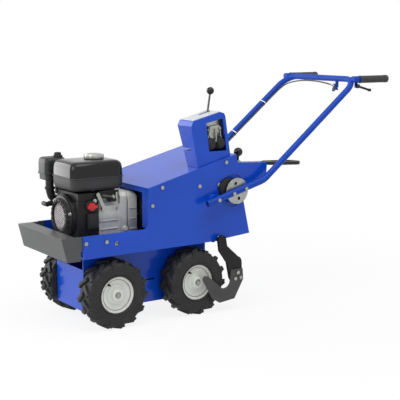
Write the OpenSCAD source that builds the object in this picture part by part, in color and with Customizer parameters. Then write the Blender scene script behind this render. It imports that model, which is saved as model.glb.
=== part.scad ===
// Sod cutter: a walk-behind turf cutter with four driven wheels, a front engine and an oscillating U-shaped blade.
// Lengths are in millimetres. The ground is z = 0. +X points to the operator's end and +Y to the operator's right.
// The sizes below are measured from mid wheelbase; every piece is then moved so that the origin is the box centre.

/* [Wheels] */
// Distance between the front and rear axles
wheelbase = 358; // [346:1:372]
// Tyre diameter over the lugs
tyre_d = 260; // [250:1:266]
// Tyre section width
tyre_w = 86; // [78:1:88]
// Gap between the lower frame and a tyre
tyre_gap = 9; // [8.5:0.5:12]
// Rim diameter over its flanges
rim_d = 141; // [132:1:150]
// Axle shaft diameter
axle_d = 25; // [20:0.5:30]
// Lugs in each row of the tread
lug_count = 14; // [10:2:18]
// Height of a lug above the carcass
lug_h = 9; // [5:0.5:12]
// Width of a lug
lug_w = 15; // [10:0.5:18]

/* [Body] */
// Gap between a side panel and the blade arm outside it
panel_gap = 14.5; // [11:0.5:16.5]
// Thickness of the side panels
panel_t = 5; // [3:0.5:6]
// Height of the panels' lower edge above the ground
panel_low_z = 280; // [278:1:286]
// Height of the low strip beside the engine
strip_h = 86; // [70:1:96]
// Distance from mid wheelbase forward to the strip's front end
strip_front = 315; // [305:1:325]
// Distance from mid wheelbase forward to the tall part's front edge
tall_front = 40; // [34:1:46]
// Height of the tall part's front top corner
tall_front_z = 521; // [510:1:530]
// Slope of the top cover in degrees
cover_slope = 14.3; // [12:0.1:16]
// Distance from mid wheelbase back to the rear top corner
tall_rear = 368; // [362:1:374]
// Thickness of the top cover's sheet
cover_t = 3; // [2:0.5:4]
// Thickness of the deck plate
deck_t = 6; // [4:0.5:8]
// Width over the lower frame's side plates
frame_w = 224; // [216:1:228]
// Thickness of the lower frame's plates
frame_t = 5; // [4:0.5:6]
// Height of the belly plate above the ground
belly_z = 58; // [50:1:64]
// Distance from mid wheelbase forward to the bumper's front edge
bumper_front = 401; // [390:1:412]
// Depth of the bumper's flat top flange
bumper_flange = 58; // [48:1:59]
// Thickness of the bumper plate
bumper_t = 4; // [3:0.5:5]
// Diameter of the body bolts
bolt_d = 8; // [6:0.5:10]
// Diameter of the tie-down hole in each strip
tie_hole_d = 18; // [12:1:24]

/* [Console] */
// Width of the control console at its top
console_w = 100; // [96:1:106]
// Wall thickness of the console
console_t = 3; // [2:0.5:4]
// Diameter of the shift knob
shift_knob_d = 30; // [26:1:34]
// Diameter of the shift lever's rod
shift_rod_d = 8; // [6:0.5:9]

/* [Handlebar] */
// Distance from a side panel's outer face to the middle of the handlebar tube beside it
handle_out = 37; // [35:1:40]
// Diameter of the handlebar tube
tube_d = 25.4; // [24:0.2:27]
// Wall of the handlebar tube
tube_wall = 2.5; // [1.5:0.1:3.5]
// Distance from mid wheelbase back to the crossbar
handle_top_x = 966; // [940:1:990]
// Height of the crossbar
handle_top_z = 905; // [880:1:930]
// Bend radius at the crossbar's ends
handle_bend_r = 70; // [60:1:80]
// Length of a hand grip
grip_l = 154; // [130:1:170]
// Diameter of a hand grip
grip_d = 31; // [29:0.5:34]
// Diameter of the zinc isolator plates
isolator_d = 104; // [96:1:110]

/* [Engine] */
// Height of the crankshaft above the engine's base
crank_h = 124; // [122:1:125]
// Diameter of the crankshaft
crank_d = 25; // [22:0.5:26]
// Length of the fuel tank
tank_l = 222; // [210:1:226]
// Height of the fuel tank
tank_h = 120; // [110:1:124]
// Diameter of the recoil starter's cover
recoil_d = 132; // [126:1:138]
// Diameter of the fuel cap
fuel_cap_d = 78; // [66:1:84]

/* [Blade] */
// Gap between a rear tyre and the blade arm outside it
arm_gap = 2.5; // [1.5:0.5:4.5]
// Thickness of the blade's plate
blade_t = 6; // [5:0.5:7]
// Thickness of the blade arms
arm_t = 13; // [10:0.5:13]
// Distance from mid wheelbase back to the rocker shaft
rocker_x = 285; // [284:1:290]
// Diameter of the rocker shaft that carries the blade arms
rocker_d = 18; // [14:0.5:20]
// How far the blade can be lowered
blade_drop = 52; // [44:1:53]
// Throw of the eccentrics on the cross shaft
eccentric_throw = 8; // [5:0.5:9]

/* [Hidden] */
$fn = 64;

// Clearances: running for shafts in their bores, seat for fixed pieces, part for moving faces
running_gap = 0.05;
seat_gap = 0.1;
part_gap = 0.5;

// Widths across the machine, each from the one inside it and the gap between them
track_w = frame_w + tyre_w + 2 * tyre_gap;
blade_w = track_w + tyre_w + 2 * (arm_gap + arm_t + blade_t);
body_w = blade_w - 2 * (blade_t + arm_t + panel_gap);
handle_w = body_w + 2 * handle_out;

// Places along the machine, worked out from the sizes above
axle_z = tyre_d / 2;
front_axle_x = -wheelbase / 2;
rear_axle_x = wheelbase / 2;
grip_gap_x = 14;
grip_start = handle_top_x + grip_gap_x;
x_mid = (grip_start + grip_l - bumper_front) / 2;
panel_out = body_w / 2;
panel_in = panel_out - panel_t;
strip_top_z = panel_low_z + strip_h;
deck_top_z = panel_low_z + deck_t + 1;
deck_low_z = deck_top_z - deck_t;
tall_rear_z = tall_front_z + (tall_rear + tall_front) * tan(cover_slope);
frame_out = frame_w / 2;
frame_in = frame_out - frame_t;
frame_front = strip_front - 40;
frame_rear = rocker_x - 23;
crank_z = deck_top_z + crank_h;
tube_r = tube_d / 2;
handle_y = handle_w / 2;
gear_x = 150;
gear_axis_z = 330;
gear_half = 62;
rocker_z = 289;
depth_pivot_x = tall_rear + 30;
depth_pivot_z = tall_rear_z - 62;

// Height of the top cover's upper face at a place along the machine
function cover_z(x) = tall_front_z + (x + tall_front) * tan(cover_slope);

// Points of an arc about a centre, from one angle to another
function arc(cx, cz, r, from, to, steps = 8) =
    [for (i = [0 : steps]) [cx + r * cos(from + (to - from) * i / steps), cz + r * sin(from + (to - from) * i / steps)]];

// Unit normal to the left of an edge, and an anticlockwise outline drawn inwards by a distance
function edge_normal(a, b) = [a.y - b.y, b.x - a.x] / norm(b - a);
function inset_corner(a, b, c, d) =
    let (n1 = edge_normal(a, b), n2 = edge_normal(b, c)) b + (n1 + n2) * d / (1 + n1 * n2);
function inset(points, d) =
    let (n = len(points)) [for (i = [0 : n - 1]) inset_corner(points[(i + n - 1) % n], points[i], points[(i + 1) % n], d)];

// A flat plate drawn in X and Z and given its thickness along Y, from y upwards
module plate_xz(y, t) {
    translate([0, y + t, 0]) rotate([90, 0, 0]) linear_extrude(t) children();
}

// A flat outline drawn in Y and Z and given its length along X
module bar_yz(x, l) {
    translate([x, 0, 0]) rotate([90, 0, 90]) linear_extrude(l) children();
}

// Round bars along each axis
module rod_y(y1, y2, d, x, z) {
    translate([x, y1, z]) rotate([-90, 0, 0]) cylinder(h = y2 - y1, d = d);
}

module rod_x(x1, x2, d, y, z) {
    translate([x1, y, z]) rotate([0, 90, 0]) cylinder(h = x2 - x1, d = d);
}

module rod_z(z1, z2, d, x, y) {
    translate([x, y, z1]) cylinder(h = z2 - z1, d = d);
}

// A block between two corners
module block(low, high) {
    translate(low) cube(high - low);
}

// Copies of a left-hand piece on both sides of the machine
module both_sides() {
    children();
    mirror([0, 1, 0]) children();
}

// A round bar along a path of points, with a bend of its own radius at each inner corner
// The straights run a little way into the bends, which are a hair thicker, so that the two join cleanly
bend_lap = 2;
bend_swell = 0.12;
function unit(v) = v / norm(v);
function turn_angle(a, b, c) = acos(unit(b - a) * unit(c - b));
function bend_cut(path, radii, i) =
    (i == 0 || i == len(path) - 1) ? 0 : radii[i - 1] * tan(turn_angle(path[i - 1], path[i], path[i + 1]) / 2);

module bent_bar(path, radii, d) {
    for (i = [0 : len(path) - 2]) {
        along = unit(path[i + 1] - path[i]);
        lap_in = i == 0 ? 0 : bend_lap;
        lap_out = i == len(path) - 2 ? 0 : bend_lap;
        a = path[i] + along * (bend_cut(path, radii, i) - lap_in);
        b = path[i + 1] - along * (bend_cut(path, radii, i + 1) - lap_out);
        straight_bar(a, b, d);
    }
    for (i = [1 : len(path) - 2]) bar_bend(path[i - 1], path[i], path[i + 1], radii[i - 1], d);
}

module straight_bar(a, b, d) {
    along = unit(b - a);
    side = unit(abs(along.z) < 0.9 ? cross([0, 0, 1], along) : cross([1, 0, 0], along));
    third = cross(along, side);
    multmatrix([
        [side.x, third.x, along.x, a.x],
        [side.y, third.y, along.y, a.y],
        [side.z, third.z, along.z, a.z],
        [0, 0, 0, 1]
    ]) cylinder(h = norm(b - a), d = d);
}

module bar_bend(a, b, c, r, d) {
    into = unit(b - a);
    out = unit(c - b);
    turn = turn_angle(a, b, c);
    inward = unit(out - into * (out * into));
    start = b - into * r * tan(turn / 2);
    centre = start + inward * r;
    third = cross(-inward, into);
    multmatrix([
        [-inward.x, into.x, third.x, centre.x],
        [-inward.y, into.y, third.y, centre.y],
        [-inward.z, into.z, third.z, centre.z],
        [0, 0, 0, 1]
    ]) rotate_extrude(angle = turn) translate([r, 0]) circle(d = d + bend_swell);
}

// Body bolts, as places in X and Z on each side panel; the first two also hold the bumper
bumper_bolts = [[-strip_front + 10, strip_top_z - 27], [-strip_front + 95, strip_top_z - 29]];
panel_bolts = concat(bumper_bolts, [[-22, 453], [22, 519], [192, 510], [318, 595], [282, 510]]);
bolt_head_d = 2 * bolt_d;
bolt_head_h = 0.65 * bolt_d;

module bolt(y_seat, grip) {
    translate([0, y_seat, 0]) rotate([90, 0, 0]) cylinder(h = bolt_head_h, d = bolt_head_d, $fn = 6);
    translate([0, y_seat, 0]) rotate([-90, 0, 0]) cylinder(h = grip, d = bolt_d);
}

// Handlebar: where its side tubes start, bend and are bolted, in X and Z
handle_start = [205, 444];
handle_knee = [478, 517];
knee_bend_r = 90;
handle_lean = atan((handle_knee.y - handle_start.y) / (handle_knee.x - handle_start.x));
function handle_z(x) = handle_start.y + (x - handle_start.x) * tan(handle_lean);
isolator_x = 357;
isolator_z = handle_z(isolator_x) - 4;
handle_boss_x = 252;
isolator_bolt_x = [isolator_x - 34, isolator_x + 24];
handle_bolts_x = concat([handle_boss_x], isolator_bolt_x);
handle_path = [
    [handle_start.x, -handle_y, handle_start.y],
    [handle_knee.x, -handle_y, handle_knee.y],
    [handle_top_x, -handle_y, handle_top_z],
    [handle_top_x, handle_y, handle_top_z],
    [handle_knee.x, handle_y, handle_knee.y],
    [handle_start.x, handle_y, handle_start.y]
];
handle_bends = [knee_bend_r, handle_bend_r, handle_bend_r, knee_bend_r];
tube_flat_y = handle_y - tube_r;

// Side panels: one plate with a strip beside the engine, a tall rear part and a horn behind the handlebar
horn_end_x = 522;
notch_d = 1.24 * isolator_d;
backing_d = notch_d + 34;
handle_boss_d = 36;
tall_fillet = 20;
panel_outline = concat(
    [[-strip_front, panel_low_z], [-strip_front, strip_top_z]],
    arc(-tall_front - tall_fillet, strip_top_z + tall_fillet, tall_fillet, -90, 0),
    [
        [-tall_front, tall_front_z],
        [tall_rear, tall_rear_z],
        [tall_rear + 6, tall_rear_z - 34],
        [horn_end_x, tall_rear_z - 43],
        [horn_end_x - 3, tall_rear_z - 91],
        [handle_knee.x, handle_knee.y - 5],
        [isolator_x + 55, isolator_z + 13],
        [isolator_x + 47, isolator_z - 42],
        [isolator_x + 78, panel_low_z + 20],
        [isolator_x - 115, panel_low_z + 4]
    ]
);

module panel_left() {
    difference() {
        union() {
            plate_xz(-panel_out, panel_t) difference() {
                polygon(panel_outline);
                translate([isolator_x - 7, isolator_z]) circle(d = notch_d);
            }
            intersection() {
                rod_y(-panel_in, -panel_in + panel_t, backing_d, isolator_x - 7, isolator_z);
                block([0, -panel_out, 0], [isolator_x + 47, 0, tall_rear_z]);
            }
            rod_y(-tube_flat_y + seat_gap, -panel_out, handle_boss_d, handle_boss_x, handle_z(handle_boss_x));
        }
        for (p = panel_bolts) rod_y(-panel_out - 1, -panel_in + 1, bolt_d + 2 * seat_gap, p.x, p.y);
        rod_y(-body_w, -panel_in + 1, bolt_d + 2 * seat_gap, handle_boss_x, handle_z(handle_boss_x));
        rod_y(-panel_out - 1, -panel_in + 1, tie_hole_d, tie_hole_x, tie_hole_z);
        rocker_slot();
    }
}

// Each strip has a hole to lash or lift the machine by, and each panel a slot for the rocker shaft's travel
tie_hole_x = -strip_front + 141;
tie_hole_z = strip_top_z - 41;
slot_w = rocker_d + 8;

module rocker_slot() {
    rod_y(-panel_out - 1, -panel_in + 1, slot_w, rocker_x, rocker_z);
    block([rocker_x - slot_w / 2, -panel_out - 1, 0], [rocker_x + slot_w / 2, -panel_in + 1, rocker_z]);
}

module left_side_panel() {
    color("royalblue") panel_left();
}

module right_side_panel() {
    color("royalblue") mirror([0, 1, 0]) panel_left();
}

// Engine deck: a plate between the strips, open behind the engine where the drive hangs through
deck_open_x = -tall_front + 22;
deck_rear = gear_x + 70;

module engine_deck() {
    color("royalblue") difference() {
        block([-strip_front, -panel_in, deck_low_z], [deck_rear, panel_in, deck_top_z]);
        block([deck_open_x, -frame_in, deck_low_z - 1], [deck_rear + 1, frame_in, deck_top_z + 1]);
        for (x = engine_bolts_x, y = engine_bolts_y) rod_z(deck_low_z - 1, deck_top_z + 1, bolt_d + 2 * seat_gap, x, y);
    }
}

// Lower frame: a welded box between the wheels, with the gearbox shelf and two guide posts for the blade carrier
shelf_top_z = gear_axis_z - gear_half;
shelf_t = 6;
post_d = 16;
post_x = rocker_x + (rocker_d + post_d) / 2 + 2;
post_y = 55;
post_low_z = 196;
rear_plate_top_z = 410;
lug_t = 8;
front_plate_h = 162;
seam_z = 148;

module lower_frame() {
    color("royalblue") {
        difference() {
            union() {
                both_sides() block([-frame_front, -frame_out, belly_z], [frame_rear, -frame_in, deck_low_z]);
                block([-frame_front, -frame_in, belly_z], [frame_rear, frame_in, belly_z + frame_t]);
                block([-frame_front, -frame_in, belly_z], [frame_t - frame_front, frame_in, belly_z + front_plate_h]);
                block([frame_rear - frame_t, -frame_out, belly_z], [frame_rear, frame_out, rear_plate_top_z]);
                block([gear_x - gear_half, -frame_in, shelf_top_z - shelf_t], [gear_x + gear_half, frame_in, shelf_top_z]);
                for (y = [-post_y, post_y], z = [post_low_z, rear_plate_top_z - lug_t])
                    block([frame_rear - 1, y - 0.7 * post_d, z], [post_x + 0.7 * post_d, y + 0.7 * post_d, z + lug_t]);
                for (y = [-post_y, post_y]) rod_z(post_low_z, rear_plate_top_z, post_d, post_x, y);
            }
            for (x = [front_axle_x, rear_axle_x]) rod_y(-frame_w, frame_w, axle_d + 8, x, axle_z);
            block([drive_x - 46, chain_y - 16, shelf_top_z - shelf_t - 1], [gear_x + 26, chain_y + 14, shelf_top_z + 1]);
            both_sides() block([-32, -frame_out - 1, seam_z - 3], [36, -frame_in + 1, seam_z + 3]);
            rear_plate_window();
        }
    }
}

// The rear plate is open above the drive so that the rocker levers can move behind it
module rear_plate_window() {
    block([frame_rear - frame_t - 1, -24, deck_top_z + 30], [frame_rear + 1, 24, rear_plate_top_z - 20]);
}

// Top cover: one bent sheet with a front wall open for the engine, the sloped top and a slotted rear lip
cover_wall_w = 40;
cover_room = 90;
cover_tail_z = tall_rear_z - 105;
lever_slot_w = 24;

module top_cover() {
    drop = cover_t / cos(cover_slope) - cover_t * tan(cover_slope);
    rise = cover_t / cos(cover_slope) + cover_t * tan(cover_slope);
    color("royalblue") difference() {
        plate_xz(-panel_in, 2 * panel_in) polygon([
            [-tall_front, strip_top_z],
            [cover_t - tall_front, strip_top_z],
            [cover_t - tall_front, tall_front_z - drop],
            [tall_rear - cover_t, tall_rear_z - rise],
            [tall_rear - cover_t, cover_tail_z],
            [tall_rear, cover_tail_z],
            [tall_rear, tall_rear_z],
            [-tall_front, tall_front_z]
        ]);
        block(
            [-tall_front - 1, cover_wall_w - panel_in, strip_top_z - 1],
            [cover_t - tall_front + 1, panel_in - cover_wall_w, crank_z + cover_room]
        );
        block(
            [tall_rear - cover_t - 1, -lever_slot_w / 2, cover_tail_z - 1],
            [tall_rear + 1, lever_slot_w / 2, depth_pivot_z + 40]
        );
        both_sides() block(
            [tall_rear - cover_t - 1, -panel_in - 1, cover_tail_z - 1],
            [tall_rear + 1, -panel_in + panel_t + seat_gap, isolator_z + backing_d / 2 + 1]
        );
    }
}

// Front bumper: a bent plate with a raked front, a flat top flange and two side plates inside the strips
bumper_top_z = strip_top_z - 1;
bumper_low_z = panel_low_z - 5;
bumper_rake = 22;
bumper_tail = -strip_front + 24;
bumper_side = [
    [-bumper_front, bumper_top_z],
    [bumper_rake - bumper_front, bumper_low_z],
    [-strip_front - 8, bumper_low_z],
    [-strip_front - 8, panel_low_z + 30],
    [bumper_tail, panel_low_z + 30],
    [bumper_tail, bumper_top_z]
];
bumper_front_face = [
    [-bumper_front, bumper_top_z],
    [bumper_rake - bumper_front, bumper_low_z],
    [bumper_rake - bumper_front + bumper_t, bumper_low_z],
    [bumper_t - bumper_front, bumper_top_z - bumper_t],
    [bumper_flange - bumper_front, bumper_top_z - bumper_t],
    [bumper_flange - bumper_front, bumper_top_z]
];

module front_bumper() {
    color("dimgray") difference() {
        union() {
            plate_xz(-panel_in, 2 * panel_in) polygon(bumper_front_face);
            both_sides() plate_xz(-panel_in, bumper_t) polygon(bumper_side);
        }
        both_sides() rod_y(-panel_in - 1, bumper_t - panel_in + 1, bolt_d + 2 * seat_gap, bumper_bolts[0].x, bumper_bolts[0].y);
    }
}

// Console: a box that stands on the cover at its left edge, tapered on its inner side, with a window in the outer one
console_out = panel_in - 5;
console_front = 192;
console_lean = 30;
console_h = 162;
console_back = 343;
console_bevel = [10, 20];
console_roof_z = cover_z(console_front) + console_h;
console_roof_rear_z = console_roof_z + 51;
console_foot_w = 0.74 * console_w;
console_side = concat(
    [
        [console_front, cover_z(console_front) + seat_gap],
        [console_back + 4, cover_z(console_back + 4) + seat_gap],
        [console_back - 21, console_roof_rear_z - 17]
    ],
    [
        [console_back - 27, console_roof_rear_z - 5],
        [console_back - 44, console_roof_rear_z],
        [console_front - console_lean + console_bevel.x, console_roof_z + console_bevel.y],
        [console_front - console_lean, console_roof_z]
    ]
);
console_section = [
    [-console_out, cover_z(0)],
    [console_foot_w - console_out, cover_z(console_front)],
    [console_w - console_out, console_roof_z],
    [console_w - console_out, console_roof_rear_z + 10],
    [-console_out, console_roof_rear_z + 10]
];
window_low_z = cover_z(console_back) + 22;
window_side = [[246, window_low_z], [328, window_low_z], [310, 768], [232, 752]];
shift_x = 281;
shift_y = 65 - console_out;
shift_pivot = [265, 690];
shift_slot_l = 84;

module console_body(wall) {
    intersection() {
        plate_xz(-console_out + wall, console_w) polygon(wall > 0 ? inset(console_side, wall) : console_side);
        bar_yz(console_front - 100, console_back) polygon(wall > 0 ? inset(console_section, wall) : console_section);
    }
}

module control_console() {
    color("royalblue") difference() {
        console_body(0);
        console_body(console_t);
        plate_xz(-console_out - 1, console_t + 2) polygon(window_side);
        block(
            [shift_x - shift_slot_l / 2, shift_y - shift_rod_d, shift_pivot.y],
            [shift_x + shift_slot_l / 2, shift_y + shift_rod_d, console_roof_rear_z + 20]
        );
        block([console_front - 40, -150, window_low_z + 4], [console_front + 20, -90, window_low_z + 14]);
    }
}

// Console plate: the pale gate plate on the console's sloped roof
gate_t = 2.5;
roof_slope = atan((console_roof_rear_z - console_roof_z - console_bevel.y)
    / (console_back - 44 - console_front + console_lean - console_bevel.x));

module console_plate() {
    roof_x = console_front - console_lean + console_bevel.x;
    front_x = roof_x + 3;
    rear_x = console_back - 44;
    front_z = console_roof_z + console_bevel.y + 3 * tan(roof_slope) + seat_gap;
    rear_z = console_roof_rear_z + seat_gap;
    color("lightgray") difference() {
        plate_xz(4 - console_out, console_w - 8) polygon([
            [front_x, front_z], [rear_x, rear_z], [rear_x, rear_z + gate_t], [front_x, front_z + gate_t]
        ]);
        block(
            [shift_x - shift_slot_l / 2, shift_y - shift_rod_d, shift_pivot.y],
            [shift_x + shift_slot_l / 2, shift_y + shift_rod_d, console_roof_rear_z + 20]
        );
    }
}

// Lever quadrants: the zinc plate with the shift pivot inside the console, and the notched depth sector at the rear lip
shift_pin_d = 10;
quadrant_t = 4;
quadrant_y = -console_out + 24;
sector_y = 14;
sector_r = 62;

module lever_quadrants() {
    color("silver") {
        difference() {
            intersection() {
                console_body(console_t);
                block([console_front - 60, quadrant_y, window_low_z + 46], [console_back + 20, quadrant_y + quadrant_t, 900]);
            }
            for (x = [252, 276, 300]) rod_y(quadrant_y - 1, quadrant_y + quadrant_t + 1, 7, x, 736);
        }
        rod_y(quadrant_y + quadrant_t, shift_y + shift_rod_d, shift_pin_d, shift_pivot.x, shift_pivot.y);
        difference() {
            plate_xz(sector_y, quadrant_t) intersection() {
                translate([tall_rear, depth_pivot_z]) circle(r = sector_r);
                translate([tall_rear, depth_pivot_z - sector_r]) square([sector_r, 2 * sector_r]);
            }
            for (a = [-60 : 20 : 60]) rod_y(
                sector_y - 1,
                sector_y + quadrant_t + 1,
                9,
                tall_rear + sector_r * cos(a),
                depth_pivot_z + sector_r * sin(a)
            );
            rod_y(sector_y - 1, sector_y + quadrant_t + 1, depth_pin_d, depth_pivot_x, depth_pivot_z);
        }
        rod_y(-lever_slot_w / 2, sector_y + quadrant_t, depth_pin_d, depth_pivot_x, depth_pivot_z);
    }
}

// Shift lever: a rod on the console's pivot pin, with a ball knob
shift_tip = [294, 873];
shift_lean = atan((shift_tip.x - shift_pivot.x) / (shift_tip.y - shift_pivot.y));
shift_l = norm(shift_tip - shift_pivot);
shift_hub_d = 22;
shift_hub_w = 14;

module on_shift_pivot() {
    translate([shift_pivot.x, shift_y, shift_pivot.y]) rotate([0, shift_lean, 0]) children();
}

module shift_lever() {
    color("dimgray") difference() {
        on_shift_pivot() {
            translate([0, -shift_hub_w / 2, 0]) rotate([-90, 0, 0]) cylinder(h = shift_hub_w, d = shift_hub_d);
            cylinder(h = shift_l - 4, d = shift_rod_d);
        }
        rod_y(shift_y - 20, shift_y + 20, shift_pin_d + 2 * running_gap, shift_pivot.x, shift_pivot.y);
    }
}

module shift_knob() {
    color("black") on_shift_pivot() difference() {
        translate([0, 0, shift_l]) sphere(d = shift_knob_d);
        cylinder(h = shift_l - 4, d = shift_rod_d + 2 * seat_gap);
    }
}

// Handlebar: one bent tube, with the clamps for the grip stubs and the throttle bracket welded on
stub_d = 22;
clamp_d = 28;
clamp_l = 34;
throttle_y = -93;
throttle_x = handle_top_x;
throttle_z = handle_top_z - 30;
throttle_pin_d = 6;

module handle_frame() {
    color("royalblue") difference() {
        union() {
            difference() {
                bent_bar(handle_path, handle_bends, tube_d);
                bent_bar(handle_path, handle_bends, tube_d - 2 * tube_wall);
            }
            both_sides() {
                rod_x(grip_start - clamp_l, grip_start, clamp_d, tube_r / 2 - handle_y, handle_top_z);
                rod_x(grip_start - 1, grip_start + grip_l - 12, stub_d, -handle_y, handle_top_z);
            }
            block([throttle_x - 7, throttle_y - 16, throttle_z - 8], [throttle_x + 7, throttle_y - 10, handle_top_z - 8]);
            rod_y(throttle_y - 12, throttle_y + 10, throttle_pin_d, throttle_x, throttle_z);
            rod_y(-handle_y - clutch_w / 2, -handle_y + clutch_w / 2 + 6, clutch_pin_d, clutch_pivot.x, clutch_pivot.y);
            block(
                [clutch_pivot.x - 7, -handle_y + clutch_w / 2 + part_gap, clutch_pivot.y - 7],
                [clutch_pivot.x + 7, -handle_y + clutch_w / 2 + 6, handle_top_z - 4]
            );
        }
        both_sides() for (x = handle_bolts_x) rod_y(-handle_y - tube_d, 0, bolt_d + 2 * seat_gap, x, handle_z(x));
    }
}

// Hand grips: ribbed rubber sleeves with a flared end, one on each stub
grip_flare = 1.5;
grip_rib_count = 9;

module hand_grip() {
    difference() {
        union() {
            rod_x(grip_start + seat_gap, grip_start + grip_l, grip_d - 3, -handle_y, handle_top_z);
            rod_x(grip_start + seat_gap, grip_start + 6, grip_d + grip_flare, -handle_y, handle_top_z);
            rod_x(grip_start + grip_l - 16, grip_start + grip_l, grip_d + grip_flare, -handle_y, handle_top_z);
            for (i = [1 : grip_rib_count]) {
                rib_x = grip_start + 6 + i * (grip_l - 22) / (grip_rib_count + 1);
                rod_x(rib_x - 4, rib_x + 4, grip_d, -handle_y, handle_top_z);
            }
        }
        rod_x(grip_start - 1, grip_start + grip_l - 12 + seat_gap, stub_d + 2 * seat_gap, -handle_y, handle_top_z);
    }
}

module hand_grips() {
    color("darkslategray") both_sides() hand_grip();
}

// Clutch lever: a flat black hand lever hinged under the left grip
clutch_pivot = [handle_top_x + 4, handle_top_z - 28];
clutch_pin_d = 7;
clutch_w = 12;
clutch_l = 70;
clutch_droop = 15;
clutch_t = 8;

module clutch_lever() {
    color("black") difference() {
        union() {
            rod_y(-handle_y - clutch_w / 2, -handle_y + clutch_w / 2, 18, clutch_pivot.x, clutch_pivot.y);
            translate([clutch_pivot.x, -handle_y, clutch_pivot.y]) rotate([0, clutch_droop, 0]) {
                translate([0, 1 - clutch_w / 2, -clutch_t / 2]) cube([clutch_l, clutch_w - 2, clutch_t]);
                translate([clutch_l, -clutch_w / 2, 0]) rotate([-90, 0, 0]) cylinder(h = clutch_w, d = clutch_t + 4);
            }
        }
        rod_y(-handle_y - 20, -handle_y + 20, clutch_pin_d + 2 * running_gap, clutch_pivot.x, clutch_pivot.y);
    }
}

// Throttle trigger: a small forked lever on a pin under the crossbar
module throttle_trigger() {
    color("midnightblue") difference() {
        union() {
            rod_y(throttle_y - 9, throttle_y + 9, 15, throttle_x, throttle_z);
            translate([throttle_x, throttle_y, throttle_z]) rotate([0, 20, 0]) translate([-3, -7, -26]) cube([6, 14, 26]);
            translate([throttle_x, throttle_y, throttle_z]) rotate([0, -30, 0]) translate([-3, -8, -22]) cube([6, 16, 22]);
        }
        rod_y(throttle_y - 20, throttle_y + 20, throttle_pin_d + 2 * running_gap, throttle_x, throttle_z);
    }
}

// Isolators: a rubber block in each panel's notch and the zinc plate that the handlebar is bolted to
isolator_plate_t = 5;
rubber_d = 0.8 * isolator_d;
isolator_hole_d = 13;

module isolator_rubbers() {
    color("black") both_sides() difference() {
        rod_y(isolator_plate_t - tube_flat_y, -panel_in, rubber_d, isolator_x, isolator_z);
        for (x = isolator_bolt_x) rod_y(-body_w, -panel_in + 1, bolt_d + 2 * seat_gap, x, handle_z(x));
    }
}

module isolator_plates() {
    color("silver") both_sides() difference() {
        rod_y(seat_gap - tube_flat_y, isolator_plate_t - tube_flat_y, isolator_d, isolator_x, isolator_z);
        for (x = isolator_bolt_x) rod_y(-body_w, 0, bolt_d + 2 * seat_gap, x, handle_z(x));
        for (a = [handle_lean + 90, handle_lean - 90]) rod_y(
            -body_w,
            0,
            isolator_hole_d,
            isolator_x + 31 * cos(a),
            isolator_z + 31 * sin(a)
        );
    }
}

// Control cable: from the throttle bracket along the crossbar and the right tube to the rear lip of the cover
cable_d = 6;
cable_sides = 8;
cable_y = handle_y - 18;
cable_route = [
    [956, -101, 874], [940, -80, 882], [930, -40, 889], [926, 10, 892], [925, 60, 892], [926, 110, 888],
    [927, cable_y - 54, 880], [924, cable_y - 18, 869], [905, cable_y - 1, 849], [870, cable_y, 822],
    [815, cable_y, 779], [760, cable_y, 735], [705, cable_y, 692], [650, cable_y, 648], [600, cable_y - 1, 609],
    [565, cable_y - 9, 583], [538, panel_in - 2, 565], [510, panel_in - 13, 553], [470, panel_in - 16, 546],
    [430, panel_in - 16, 545], [400, panel_in - 14, 545], [369, panel_in - 12, 545]
];
function cable_way(i) = unit(cable_route[min(i + 1, len(cable_route) - 1)] - cable_route[max(i - 1, 0)]);
function cable_ring(i) =
    let (way = cable_way(i), side = unit(cross(way, [0.3, 0, 1])), lift = cross(side, way))
    [for (k = [0 : cable_sides - 1]) cable_route[i]
        + (side * cos(360 * k / cable_sides) + lift * sin(360 * k / cable_sides)) * cable_d / 2];

module control_cable() {
    n = len(cable_route);
    points = [for (i = [0 : n - 1]) each cable_ring(i)];
    walls = [for (i = [0 : n - 2], k = [0 : cable_sides - 1], half = [0, 1])
        let (a = i * cable_sides + k, b = i * cable_sides + (k + 1) % cable_sides)
        half == 0 ? [a, b, b + cable_sides] : [a, b + cable_sides, a + cable_sides]];
    first = [for (k = [1 : cable_sides - 2]) [0, k + 1, k]];
    last = [for (k = [1 : cable_sides - 2]) [0, k, k + 1] + [1, 1, 1] * (n - 1) * cable_sides];
    color("gray") polyhedron(points, concat(walls, first, last), convexity = 6);
}

// Wheels: lug tyres on dished rims, two on each live axle
tyre_r = tyre_d / 2;
carcass_r = tyre_r - lug_h;
bead_r = 0.41 * rim_d;
shoulder_r = 12;
lug_angle = 40;
lug_l = 50;
lug_y = 19;
wheel_y = track_w / 2;
hub_face_y = 41;
rim_wall = 5;

module tyre_section() {
    side_y = tyre_w / 2;
    sidewall_r = rim_d / 2 + seat_gap;
    translate([bead_r + seat_gap, shoulder_r - side_y]) square([carcass_r - bead_r - seat_gap, tyre_w - 2 * shoulder_r]);
    translate([sidewall_r + shoulder_r, -side_y]) square([carcass_r - sidewall_r - 2 * shoulder_r, tyre_w]);
    for (r = [sidewall_r + shoulder_r, carcass_r - shoulder_r], y = [shoulder_r - side_y, side_y - shoulder_r])
        translate([r, y]) circle(r = shoulder_r);
}

module tyre_lugs() {
    pitch = 360 / lug_count;
    lug_deep = lug_h + 10;
    for (i = [0 : lug_count - 1], side = [-1, 1])
        rotate([0, (i + (side + 1) / 4) * pitch, 0])
            translate([0, side * lug_y, tyre_r - lug_deep / 2 + 2])
            rotate([0, 0, side * lug_angle])
            cube([lug_w, lug_l, lug_deep + 4], center = true);
}

module tyre(x, y) {
    translate([x, y, axle_z]) {
        difference() {
            rotate([90, 0, 0]) rotate_extrude() tyre_section();
            rod_y(-tyre_w, tyre_w, 2 * (bead_r + seat_gap), 0, 0);
        }
        intersection() {
            tyre_lugs();
            difference() {
                rod_y(-tyre_w / 2, tyre_w / 2, tyre_d, 0, 0);
                rod_y(-tyre_w, tyre_w, 2 * (carcass_r - 6), 0, 0);
            }
        }
    }
}

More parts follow.
